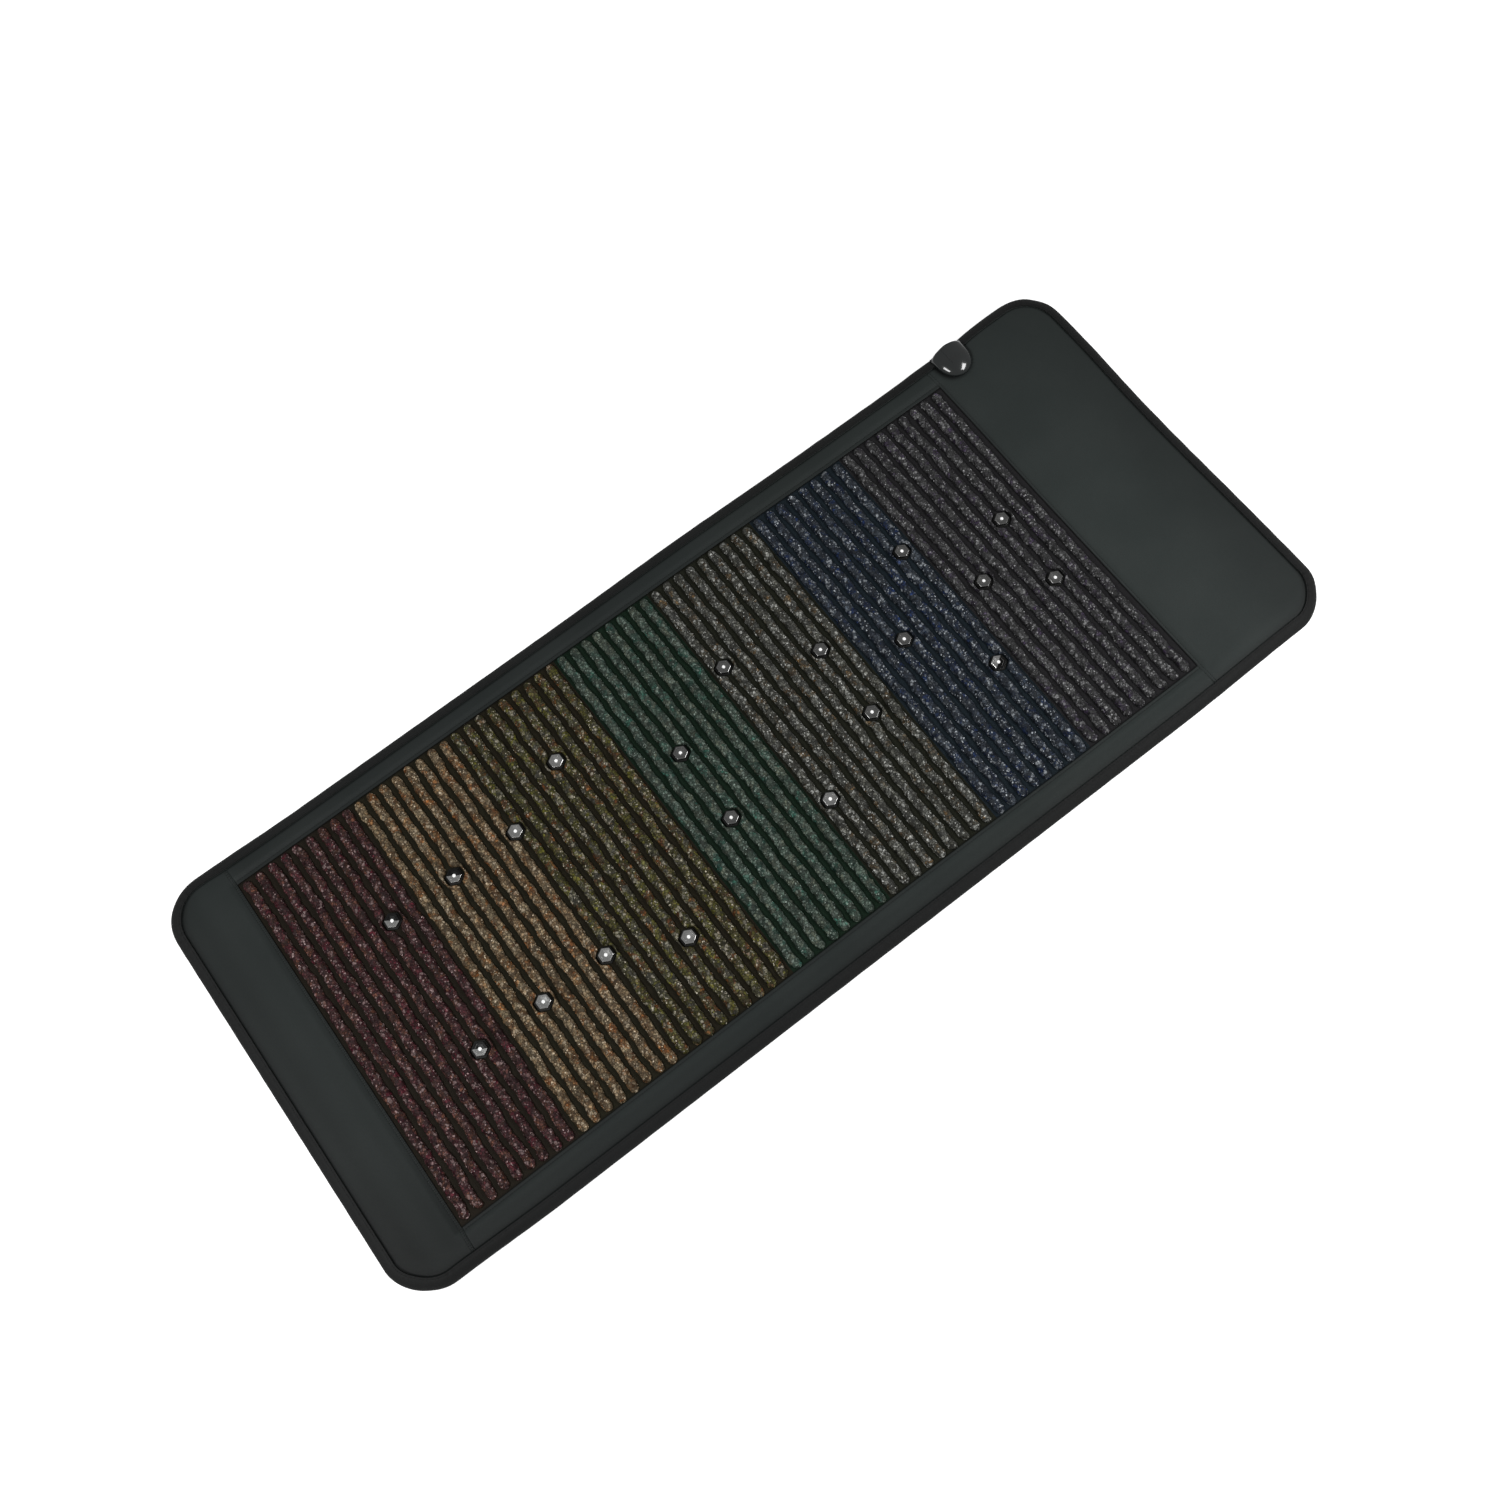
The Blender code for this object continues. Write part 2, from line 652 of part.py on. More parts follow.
def tube_columns(first, count):
    """Across a band: the X of each column of points and how high its tube is there, from 0 to 1."""
    columns = [(FIRST_TUBE_X + TUBE_PITCH * (first - 0.5) + GAP, 0.0)]
    for tube in range(first, first + count):
        centre = FIRST_TUBE_X + TUBE_PITCH * tube
        for step in range(TUBE_SEGMENTS + 1):
            across = -math.cos(math.pi * step / TUBE_SEGMENTS)
            rise = max(0.0, 1 - abs(across) ** TUBE_SQUARENESS) ** (1 / TUBE_SQUARENESS)
            columns.append((centre + across * TUBE_WIDTH / 2, rise))
    columns.append((FIRST_TUBE_X + TUBE_PITCH * (first + count - 0.5) - GAP, 0.0))
    return columns


def tube_rows():
    """Along a tube: each row's place from the window's middle line and how full the tube is, from 0 to 1."""
    half = TUBE_LENGTH / 2
    ends = [(WINDOW_WIDTH / 2 - GAP, 0.0), (half, 0.0)]
    for share, fullness in ((0.18, 0.66), (1.0, 1.0)):
        ends.append((half - share * TUBE_END_ROUND, fullness))
    return [(-y, fullness) for y, fullness in ends] + [(y, fullness) for y, fullness in ends[::-1]]


def build_gem_bands(holes):
    """One sewn panel of gem-filled channels for each colour, standing on a flat web."""
    first = 0
    rows = tube_rows()
    for colour_name, count, colour in BANDS:
        name = "gem_channels_" + colour_name
        columns = tube_columns(first, count)
        bm = bmesh.new()
        bmesh.ops.create_grid(bm, x_segments=len(columns) - 1, y_segments=len(rows) - 1, size=0.5)
        bm.verts.ensure_lookup_table()
        for vert in bm.verts:
            x, rise = columns[round((vert.co.x + 0.5) * (len(columns) - 1))]
            y, fullness = rows[round((vert.co.y + 0.5) * (len(rows) - 1))]
            vert.co = (x, WINDOW_MIDDLE + y, WEB_Z + WEB + TUBE_HEIGHT * rise * fullness)
        grown = bmesh.ops.extrude_face_region(bm, geom=bm.faces[:])
        below = [item for item in grown["geom"] if isinstance(item, bmesh.types.BMVert)]
        for vert in below:
            vert.co.z = WEB_Z
        flat = [face for face in bm.faces if all(abs(vert.co.z - WEB_Z) < 1e-6 for vert in face.verts)]
        bmesh.ops.dissolve_faces(bm, faces=flat)
        bmesh.ops.dissolve_limit(bm, angle_limit=0.0005, verts=bm.verts, edges=bm.edges)
        band = add_part(name, mesh_from(name, bm), material(name, colour, 0.5), 35)
        boolean(band, "DIFFERENCE", holes)
        first += count


def light_mesh():
    """One light element at the origin: a hexagonal flange, a stepped body, a round lens and a stem."""
    base = WEB_Z
    top = base + LIGHT_HEIGHT
    loops = [
        hexagon(LIGHT_FLANGE_FLATS, 0, 0, base),
        hexagon(LIGHT_FLANGE_FLATS, 0, 0, base + LIGHT_FLANGE),
        hexagon(LIGHT_FLATS, 0, 0, base + LIGHT_FLANGE),
        hexagon(LIGHT_FLATS, 0, 0, top - LIGHT_STEP),
        hexagon(LIGHT_STEP_FLATS, 0, 0, top - LIGHT_STEP),
        hexagon(LIGHT_STEP_FLATS, 0, 0, top),
    ]
    body = loft("light_body", loops)
    work = add_cutter("light_work", body)
    lens = bmesh.new()
    bmesh.ops.create_uvsphere(
        lens,
        u_segments=8,
        v_segments=4,
        radius=1.0,
        matrix=Matrix.Translation((0, 0, top - 0.0001))
        @ Matrix.Diagonal((LIGHT_LENS_RADIUS, LIGHT_LENS_RADIUS, LIGHT_LENS_HEIGHT, 1.0)),
    )
    lens_cutter = add_cutter("light_lens", mesh_from("light_lens", lens))
    stem_bottom = HARNESS_Z + HARNESS_BOARD + GAP
    stem_top = base + LIGHT_FLANGE
    stem = cylinders_mesh("light_stem", [(0, 0)], LIGHT_STEM_RADIUS, stem_bottom, stem_top, STEM_SIDES)
    stem_cutter = add_cutter("light_stem", stem)
    boolean(work, "UNION", lens_cutter)
    boolean(work, "UNION", stem_cutter)
    graph = bpy.context.evaluated_depsgraph_get()
    mesh = bpy.data.meshes.new_from_object(work.evaluated_get(graph))
    for helper in (work, lens_cutter, stem_cutter):
        bpy.data.objects.remove(helper)
    mesh.name = "light"
    return mesh


def build_lights(look):
    """Twenty light elements that share one mesh."""
    mesh = light_mesh()
    mesh.materials.clear()
    for number, (x, y) in enumerate(light_places(), start=1):
        light = add_part(f"light_{number:02d}", mesh, look)
        light.location = (x, y, 0)


def build_border_padding(look, cutters):
    """The foam frame that lifts the leather border round the window."""
    lift = -(LEATHER + GAP)
    slope_margin = HEM_WIDTH + HEM_SLOPE / 2
    outer_angle = 48
    loops = [rim_curve(angle, lift) for angle in (outer_angle, 68, 90)]
    loops += border_top(lift, (0.5,))
    loops += [window_loop(HEM_WIDTH + HEM_SLOPE, TOP_LEVEL + lift)]
    loops.append(window_loop(slope_margin, (TOP_LEVEL + HEM_TOP) / 2 + lift))
    loops.append(window_loop(slope_margin, HARNESS_Z))
    inset = EDGE_INSET + RIM_REACH * (1 - math.cos(math.radians(outer_angle))) - lift
    loops.append(rim_loop(inset, HARNESS_Z))
    padding = add_part("border_padding", loft("border_padding", loops, ring=True), look, 40)
    for cutter in cutters:
        boolean(padding, "DIFFERENCE", cutter)


def border_cover():
    """The leather border as one closed sheet, from the rim to the hem at the window."""
    angles = (COVER_START_ANGLE, 22, 42, 61, BINDING_TOP_ANGLE, 90)
    top = [rim_curve(angle, 0) for angle in angles] + border_top(0)
    top += [
        window_loop(HEM_WIDTH + HEM_SLOPE, TOP_LEVEL),
        window_loop(HEM_WIDTH, HEM_TOP + BORDER_RISE * 0.35),
        window_loop(HEM_WIDTH * 0.45, HEM_TOP),
        window_loop(0, HEM_TOP),
    ]
    under = [rim_curve(angle, -LEATHER) for angle in angles] + border_top(-LEATHER)
    under += [
        window_loop(HEM_WIDTH + HEM_SLOPE, TOP_LEVEL - LEATHER),
        window_loop(HEM_WIDTH, HEM_TOP - LEATHER),
        window_loop(HEM_WIDTH, WEB_Z),
        window_loop(0, WEB_Z),
    ]
    return top + under[::-1]


def build_panels(look, pocket):
    """Head panel, foot panel and two side strips, each a piece of the leather border between its seams."""
    loops = border_cover()
    foot_seam = WINDOW_X0 + SEAM_OVERLAP
    head_seam = WINDOW_X1 - SEAM_OVERLAP
    far = MAT_LENGTH
    wide = MAT_WIDTH
    above = FAR_ABOVE
    regions = {
        "foot_panel": ((-far, -wide, -above), (foot_seam, wide, above)),
        "head_panel": ((head_seam, -wide, -above), (far, wide, above)),
        "side_strip_near": ((foot_seam + SEAM_GAP, -wide, -above), (head_seam - SEAM_GAP, 0, above)),
        "side_strip_far": ((foot_seam + SEAM_GAP, 0, -above), (head_seam - SEAM_GAP, wide, above)),
    }
    for name, (low, high) in regions.items():
        panel = add_part(name, loft(name, loops, ring=True), look, 40)
        boolean(panel, "INTERSECT", add_cutter(name + "_region", box_mesh(name + "_region", low, high)))
        if name == "head_panel":
            boolean(panel, "DIFFERENCE", pocket)


def build_edge_binding(look, pocket, recess):
    """The binding tape, folded over the rim all the way round and cut short at the connector."""
    tops = (BINDING_TOP_ANGLE, 60, 40, 20)
    bottoms = (0, 28, 54, BINDING_BOTTOM_ANGLE)
    outside = [rim_curve(angle, BINDING + GAP) for angle in tops]
    outside += [rim_curve(angle, BINDING + GAP, up=False) for angle in bottoms]
    inside = [rim_curve(angle, GAP) for angle in tops]
    inside += [rim_curve(angle, GAP, up=False) for angle in bottoms]
    binding = add_part("edge_binding", loft("edge_binding", outside + inside[::-1], ring=True), look, 40)
    boolean(binding, "DIFFERENCE", pocket)
    boolean(binding, "DIFFERENCE", recess)


def mat_envelope(pocket):
    """The mat's upper surface with a clearance, as a cutter for the connector, open at the pocket."""
    skirt = CONNECTOR_SKIRT_HEIGHT
    clear = BINDING + 2 * GAP
    start = math.degrees(math.asin((skirt - RIM_HEIGHT) / (RIM_UP + clear)))
    outside = -0.006
    loops = [rim_loop(outside, 0.005), rim_loop(outside, skirt)]
    first = rim_curve(start, clear)
    loops.append([Vector((point.x, point.y, skirt)) for point in first])
    loops += [rim_curve(angle, clear) for angle in (42, 61, BINDING_TOP_ANGLE)]
    loops += [rim_curve(86, GAP)] + border_top(GAP)
    loops += [window_loop(HEM_WIDTH + HEM_SLOPE, TOP_LEVEL + GAP)]
    envelope = add_cutter("mat_envelope", loft("mat_envelope", loops))
    boolean(envelope, "DIFFERENCE", pocket)
    return envelope


def cavity_cutter(name, mesh):
    """A cavity that leaves the four screw bosses standing."""
    cavity = add_cutter(name, mesh)
    bosses = cylinders_mesh(name + "_bosses", boss_places(), BOSS_RADIUS, -0.02, FAR_ABOVE, SCREW_STEPS)
    boolean(cavity, "DIFFERENCE", add_cutter(name + "_bosses", bosses))
    return cavity


def lead_holes():
    """Holes through the connector's inner wall for the three leads that enter it."""
    leads = (
        ("heater_hole", 0.0, HEATER_Z + HEATER_DIAMETER / 2, HEATER_DIAMETER),
        ("coil_lead_hole", -LEAD_SPACING, FOAM_Z + FOAM - COIL_LEAD_DEPTH, COIL_LEAD_DIAMETER),
        ("light_lead_hole", LEAD_SPACING, HARNESS_Z + HARNESS_BOARD / 2, HARNESS_WIRE),
    )
    cutters = []
    for name, across, z, diameter in leads:
        start = (*connector_point(across, CONNECTOR_INNER_WALL - 0.012), z)
        end = (*connector_point(across, CONNECTOR_INNER_WALL + 0.020), z)
        cutters.append(add_cutter(name, round_tube(name, [start, end], diameter + 2 * GAP, 2)))
    return cutters


def build_connector_shells(look, pocket):
    """The domed upper shell and the lower shell that clamp the mat's edge between them."""
    wall = CONNECTOR_WALL
    split = CONNECTOR_SPLIT_HEIGHT
    floor = CONNECTOR_FLOOR_LIFT
    spring = TOP_LEVEL + CONNECTOR_SPRING_LIFT
    ear = spring - CONNECTOR_EAR_SLOPE
    low = [dee_loop(CONNECTOR_WIDTH / 2, CONNECTOR_END_Y, z) for z in (split + GAP, ear)]
    outer = dome_loops(0, CONNECTOR_DOME_CORNER, low, CONNECTOR_END_Y)
    upper = add_part("connector_upper_shell", loft("connector_upper_shell", outer), look, 35)
    boolean(upper, "DIFFERENCE", mat_envelope(pocket))

    inset = CONNECTOR_LEDGE + wall
    low_half = CONNECTOR_WIDTH / 2 - inset
    inner_end = CONNECTOR_END_Y - wall
    neck = [dee_loop(low_half, inner_end, z) for z in (split - 0.002, spring - wall)]
    inner = dome_loops(wall, CONNECTOR_CAVITY_CORNER, neck, inner_end)
    upper_cavity = cavity_cutter("upper_cavity", loft("upper_cavity", inner))
    boolean(upper, "DIFFERENCE", upper_cavity)
    half_w = SOCKET_WIDTH / 2 + GAP
    half_h = SOCKET_HEIGHT / 2 + GAP
    opening = box_mesh(
        "socket_opening",
        (CONNECTOR_X - half_w, inner_end - 0.001, SOCKET_CENTRE_Z - half_h),
        (CONNECTOR_X + half_w, CONNECTOR_END_Y + 0.01, SOCKET_CENTRE_Z + half_h),
    )
    boolean(upper, "DIFFERENCE", add_cutter("socket_opening", opening))
    shank_hole = SCREW_SHANK_RADIUS + GAP
    hole_top = floor + SCREW_LENGTH + 0.002
    pilot = cylinders_mesh("pilot_holes", boss_places(), shank_hole, split - 0.002, hole_top, SCREW_STEPS)
    boolean(upper, "DIFFERENCE", add_cutter("pilot_holes", pilot))

    lower_mesh = dee_prism("connector_lower_shell", 0, CONNECTOR_END_Y, floor, split)
    lower = add_part("connector_lower_shell", lower_mesh, look, 35)
    size = 0.1
    collar = add_cutter(
        "flange_clearance",
        box_mesh(
            "flange_clearance",
            (CONNECTOR_X - size, CONNECTOR_END_Y - size, floor + CONNECTOR_FLANGE),
            (CONNECTOR_X + size, CONNECTOR_END_Y + size / 10, split + 0.02),
        ),
    )
    stem = dee_prism("flange_stem", CONNECTOR_LEDGE, CONNECTOR_END_Y + size / 5, -0.01, split + 0.04)
    boolean(collar, "DIFFERENCE", add_cutter("flange_stem", stem))
    boolean(lower, "DIFFERENCE", collar)
    low_loops = [dee_loop(low_half, inner_end, z) for z in (floor + CONNECTOR_FLANGE, split + 0.01)]
    boolean(lower, "DIFFERENCE", cavity_cutter("lower_cavity", loft("lower_cavity", low_loops)))
    hole_top = split + 0.002
    shank = cylinders_mesh("shank_holes", boss_places(), shank_hole, floor - 0.002, hole_top, SCREW_STEPS)
    boolean(lower, "DIFFERENCE", add_cutter("shank_holes", shank))
    head_top = floor + SCREW_HEAD_LIFT + SCREW_HEAD_HEIGHT + GAP
    sink_radius = SCREW_HEAD_RADIUS + GAP
    sink = cylinders_mesh("head_sinks", boss_places(), sink_radius, floor - 0.002, head_top, SCREW_STEPS)
    boolean(lower, "DIFFERENCE", add_cutter("head_sinks", sink))
    for cutter in lead_holes():
        boolean(upper, "DIFFERENCE", cutter)
        boolean(lower, "DIFFERENCE", cutter)


def build_screws(look):
    """Four screws from below, each a turned profile."""
    base = CONNECTOR_FLOOR_LIFT + SCREW_HEAD_LIFT
    shoulder = base + SCREW_HEAD_HEIGHT
    tip = CONNECTOR_FLOOR_LIFT + SCREW_LENGTH
    profile = [
        (0, tip),
        (SCREW_SHANK_RADIUS * 0.5, tip),
        (SCREW_SHANK_RADIUS, tip - SCREW_SHANK_RADIUS),
        (SCREW_SHANK_RADIUS, shoulder),
        (SCREW_HEAD_RADIUS, shoulder),
        (SCREW_HEAD_RADIUS, base + SCREW_HEAD_HEIGHT / 3),
        (SCREW_HEAD_RADIUS * 0.8, base),
        (0, base),
    ]
    mesh = bpy.data.meshes.new("connector_screw")
    mesh.from_pydata([(r, 0, z) for r, z in profile], [(i, i + 1) for i in range(len(profile) - 1)], [])
    for number, (x, y) in enumerate(boss_places(), start=1):
        screw = add_part(f"connector_screw_{number}", mesh, look)
        screw.location = (x, y, 0)
        turn(screw, SCREW_STEPS)


def pin_places():
    """Centres of the socket's pins, as X and Z."""
    columns = [CONNECTOR_X + PIN_SPACING_X * (i - (PIN_COLUMNS - 1) / 2) for i in range(PIN_COLUMNS)]
    rows = [SOCKET_CENTRE_Z + PIN_SPACING_Z * (i - (PIN_ROWS - 1) / 2) for i in range(PIN_ROWS)]
    return [(x, z) for x in columns for z in rows]


def pins_mesh(name, radius, back_y, front_y):
    """Round pins along Y, as one mesh."""
    bm = bmesh.new()
    for x, z in pin_places():
        bmesh.ops.create_cone(
            bm,
            cap_ends=True,
            segments=8,
            radius1=radius,
            radius2=radius,
            depth=front_y - back_y,
            matrix=Matrix.Translation((x, (front_y + back_y) / 2, z)) @ Matrix.Rotation(math.pi / 2, 4, "X"),
        )
    return mesh_from(name, bm)


def build_socket(insert_look, board_look):
    """The moulded insert in the connector's end, and the board behind it with its contact pins."""
    front = CONNECTOR_END_Y
    back = front - SOCKET_DEPTH
    half_w = SOCKET_WIDTH / 2
    half_h = SOCKET_HEIGHT / 2
    low = (CONNECTOR_X - half_w, back, SOCKET_CENTRE_Z - half_h)
    high = (CONNECTOR_X + half_w, front, SOCKET_CENTRE_Z + half_h)
    insert = add_part("socket_insert", box_mesh("socket_insert", low, high), insert_look)
    proud = SOCKET_FLANGE_PROUD
    flange_front = front - CONNECTOR_WALL - GAP
    flange = box_mesh(
        "socket_flange",
        (low[0] - proud, flange_front - SOCKET_FLANGE_DEPTH, low[2] - proud),
        (high[0] + proud, flange_front, high[2] + proud),
    )
    boolean(insert, "UNION", add_cutter("socket_flange", flange))
    wall = SOCKET_WALL
    pocket = box_mesh(
        "socket_pocket",
        (low[0] + wall, front - SOCKET_POCKET_DEPTH, low[2] + wall),
        (high[0] - wall, front + 0.01, high[2] - wall),
    )
    boolean(insert, "DIFFERENCE", add_cutter("socket_pocket", pocket))
    holes = pins_mesh("pin_holes", PIN_RADIUS + GAP, back - 0.005, front)
    boolean(insert, "DIFFERENCE", add_cutter("pin_holes", holes))

    board_front = back - GAP
    margin = BOARD_MARGIN
    board = box_mesh(
        "connector_board",
        (low[0] + margin, board_front - BOARD_THICKNESS, low[2] + margin),
        (high[0] - margin, board_front, high[2] - margin),
    )
    board = add_part("connector_board", board, board_look)
    pin_front = front - SOCKET_POCKET_DEPTH + PIN_REACH
    pins = pins_mesh("contact_pins", PIN_RADIUS, board_front - BOARD_THICKNESS / 2, pin_front)
    boolean(board, "UNION", add_cutter("contact_pins", pins))


def main():
    clear_scene()
    leather = material("black_leather", (0.026, 0.031, 0.031), 0.55)
    binding = material("binding_tape", (0.014, 0.015, 0.015), 0.80)
    felt = material("grey_felt", (0.30, 0.30, 0.29), 0.95)
    foam = material("foam", (0.16, 0.16, 0.17), 0.90)
    foil = material("metal_foil", (0.80, 0.80, 0.82), 0.35, 1.0)
    copper = material("copper_coil", (0.60, 0.28, 0.14), 0.40, 1.0)
    cable = material("heater_cable", (0.60, 0.08, 0.05), 0.60)
    mesh_fabric = material("mesh_fabric", (0.012, 0.013, 0.012), 0.90)
    lens = material("light_lens", (0.30, 0.30, 0.29), 0.15, 0.5)
    gloss = material("gloss_black", (0.012, 0.013, 0.013), 0.12)
    insert = material("socket_plastic", (0.020, 0.020, 0.021), 0.45)
    board = material("circuit_board", (0.030, 0.180, 0.080), 0.50)
    steel = material("screw_steel", (0.55, 0.55, 0.56), 0.35, 1.0)

    pocket, recess = make_pocket_cutters()
    build_bottom_cover(leather, pocket, recess)
    build_layer("base_felt", FELT_INSET, FELT_Z, FELT, felt, [pocket, recess])
    build_foam_and_coils(foam, copper, pocket)
    build_layer("shielding_foil", LAYER_INSET, FOIL_Z, FOIL, foil, [pocket])
    build_layer("heater_carrier", LAYER_INSET, CARRIER_Z, CARRIER, felt, [pocket])
    build_heater(cable, insert)
    build_layer("cover_felt", LAYER_INSET, COVER_FELT_Z, COVER_FELT, felt, [pocket])
    wire_groove = build_light_harness(board)
    build_backing(mesh_fabric)
    hex_radius = (LIGHT_FLANGE_FLATS + 2 * LIGHT_HOLE_CLEARANCE) / math.sqrt(3)
    hexes = cylinders_mesh("light_openings", light_places(), hex_radius, WEB_Z - 0.01, WEB_Z + 0.02, 6)
    build_gem_bands(add_cutter("light_openings", hexes))
    build_lights(lens)
    build_border_padding(foam, [pocket, wire_groove])
    build_panels(leather, pocket)
    build_edge_binding(binding, pocket, recess)
    build_connector_shells(gloss, pocket)
    build_screws(steel)
    build_socket(insert, board)


main()
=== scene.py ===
"""The heated crystal mat as the photograph shows it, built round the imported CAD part.

The leather, binding, mesh, stone-filled channels, felts and foam are rebuilt as soft goods over their
CAD solids. The rigid pieces inside stay as the CAD has them and get finished materials. Lengths are in
metres, +X runs towards the head end and +Z is up.
"""

import math

import bpy
import numpy as np
from mathutils import Matrix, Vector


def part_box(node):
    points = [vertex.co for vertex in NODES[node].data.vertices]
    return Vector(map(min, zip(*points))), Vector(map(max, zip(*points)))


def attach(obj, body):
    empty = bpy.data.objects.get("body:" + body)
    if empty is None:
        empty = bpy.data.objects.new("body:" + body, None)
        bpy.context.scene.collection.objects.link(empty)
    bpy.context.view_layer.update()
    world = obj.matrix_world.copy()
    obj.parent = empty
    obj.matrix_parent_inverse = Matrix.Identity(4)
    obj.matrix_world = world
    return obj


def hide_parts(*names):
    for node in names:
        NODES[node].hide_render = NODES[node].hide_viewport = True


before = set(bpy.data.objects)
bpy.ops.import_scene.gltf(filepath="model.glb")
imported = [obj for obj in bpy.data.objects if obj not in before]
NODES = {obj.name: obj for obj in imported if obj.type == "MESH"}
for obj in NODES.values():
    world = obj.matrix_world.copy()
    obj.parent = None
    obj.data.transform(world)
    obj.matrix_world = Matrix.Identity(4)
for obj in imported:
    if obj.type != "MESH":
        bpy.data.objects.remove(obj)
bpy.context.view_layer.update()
SCENE = bpy.context.scene

# Sizes that the CAD part has too, the first ones read from its pieces
edge_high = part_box("edge_binding")[1]
shell_low, shell_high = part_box("connector_upper_shell")
HALF_LENGTH = round(edge_high.x, 4)
HALF_WIDTH = round(edge_high.y, 4)
CONNECTOR_X = round((shell_low.x + shell_high.x) / 2, 4)
CONNECTOR_HALF = round((shell_high.x - shell_low.x) / 2, 4)
CONNECTOR_END_Y = round(shell_high.y, 4)
CORNER_RADIUS = 0.081
FOOT_PANEL = 0.132
HEAD_PANEL = 0.271
NEAR_STRIP = 0.063
FAR_STRIP = 0.052
WINDOW_X0 = FOOT_PANEL - HALF_LENGTH
WINDOW_X1 = HALF_LENGTH - HEAD_PANEL
WINDOW_HALF = HALF_WIDTH - (NEAR_STRIP + FAR_STRIP) / 2
WINDOW_MIDDLE = (NEAR_STRIP - FAR_STRIP) / 2
RIM_REACH = 0.024
RIM_HEIGHT = 0.009
EDGE_INSET = 0.0015
LEATHER_THICKNESS = 0.0012
BINDING_THICKNESS = 0.0012
GAP = 0.0003
CROWN = 0.0010
HEM_WIDTH = 0.010
WEB_Z = 0.0168
TUBE_PITCH = 0.0253
FIRST_TUBE_X = WINDOW_X0 + 0.0148
CONNECTOR_STRAIGHT = 0.0235
CONNECTOR_DOME = 0.0165
CONNECTOR_WALL = 0.0022
CONNECTOR_LEDGE = 0.004
SHELL_FOOT = 0.0123
POCKET_HALF = CONNECTOR_HALF - CONNECTOR_LEDGE - GAP
SOCKET_HEIGHT = 0.0130
SOCKET_LIFT = 0.0027

# Heights of the soft pieces
TOP_LEVEL = 0.0215
PADDING_TOP = 0.0191
PADDING_DROP = 0.0011
HEM_TOP = 0.0192
NET_TOP = 0.01676
NET_THICKNESS = 0.00014
NET_CLEARANCE = 0.00004
TUBE_TOP = 0.0254

# Where the long edges' own bends start, from the mat's middle line, and how soon they are full
EDGE_BEND_START = 0.356
EDGE_BEND_REACH = 0.036

# How finely the outline is followed
OUTLINE_SPACING = 0.0045
CORNER_STEPS = 40

# The border's groove, hems, seams and stitches
GROOVE_INSET = 0.0200
GROOVE_DEPTH = 0.0015
HEM_STITCH = 0.0055
HEM_LAP = 0.006
SEAM_LINES = (WINDOW_X0 - 0.0024, WINDOW_X0 - 0.0050, WINDOW_X1 + 0.0046)
STITCH_VALLEY = 0.00024
STITCH_VALLEY_WIDTH = 0.0007
STITCH_PITCH = 0.0042
STITCH_LENGTH = 0.0030
THREAD_RADIUS = 0.00032

# The leather's painted light and shade: its lightest painted level over its level in the middle, and what a
# full painted shade leaves of it
PAINTED_LIGHT_LIFT = 1.55
DARKEST = 0.15

# The channels: their shape, then the seed, size and height of each layer of chips on them
TUBE_WIDTH = 0.0163
TUBE_HALF = 0.3473
TUBE_SQUARENESS = 2.25
TUBE_END_ROUND = 0.009
TUBE_ROWS = 500
TUBE_COLUMNS = 17
NEAR_TUBE_EXTRA = 0.0014
CHIP_ARC_RADIUS = 0.0095
CHIP_LAYERS = ((1, 0.0048, 0.00105), (3, 0.0023, 0.00030))
CHIP_GRAIN = 195.0

# The connector's dome
DOME_FOOT = TOP_LEVEL + 0.0015
DOME_POWER = 1.12
CONNECTOR_BULGE = 0.0030
CONNECTOR_NOSE = 1.14
CREASE_X = CONNECTOR_X - 0.0115
CREASE_START_Y = 0.3640
DEE_STEPS = 36
DEE_CORNER_STEPS = 5

# Each band: name, number of channels, the tint of its netting, its chips' dark colour, painted into their
# crevices as shade, their hues and the colour of the palest
BANDS = (
    ("red", 9, (0.0166, 0.0125, 0.0073), (0.009, 0.003, 0.003),
     ((0.048, 0.014, 0.016), (0.058, 0.025, 0.025), (0.054, 0.006, 0.012), (0.084, 0.034, 0.022)),
     (0.250, 0.180, 0.175)),
    ("orange", 8, (0.0166, 0.0146, 0.0068), (0.026, 0.015, 0.006),
     ((0.145, 0.088, 0.042), (0.165, 0.116, 0.066), (0.165, 0.062, 0.018), (0.190, 0.148, 0.090)),
     (0.400, 0.330, 0.235)),
    ("yellow", 9, (0.0161, 0.0131, 0.0062), (0.011, 0.009, 0.004),
     ((0.066, 0.055, 0.024), (0.075, 0.072, 0.010), (0.115, 0.040, 0.010), (0.078, 0.074, 0.058)),
     (0.340, 0.310, 0.245)),
    ("green", 8, (0.0057, 0.0182, 0.0090), (0.012, 0.021, 0.015),
     ((0.046, 0.070, 0.055), (0.060, 0.078, 0.063), (0.020, 0.068, 0.050), (0.074, 0.084, 0.062)),
     (0.160, 0.200, 0.172)),
    ("grey", 9, (0.0144, 0.0156, 0.0090), (0.007, 0.007, 0.005),
     ((0.066, 0.066, 0.054), (0.078, 0.078, 0.066), (0.086, 0.054, 0.024), (0.090, 0.092, 0.084)),
     (0.390, 0.395, 0.370)),
    ("blue", 8, (0.0111, 0.0189, 0.0252), (0.005, 0.007, 0.011),
     ((0.017, 0.024, 0.035), (0.027, 0.033, 0.045), (0.006, 0.017, 0.064), (0.048, 0.058, 0.070)),
     (0.310, 0.335, 0.355)),
    ("violet", 9, (0.0191, 0.0185, 0.0199), (0.011, 0.011, 0.011),
     ((0.038, 0.036, 0.040), (0.047, 0.047, 0.048), (0.038, 0.026, 0.052), (0.060, 0.060, 0.061)),
     (0.250, 0.250, 0.253)),
)
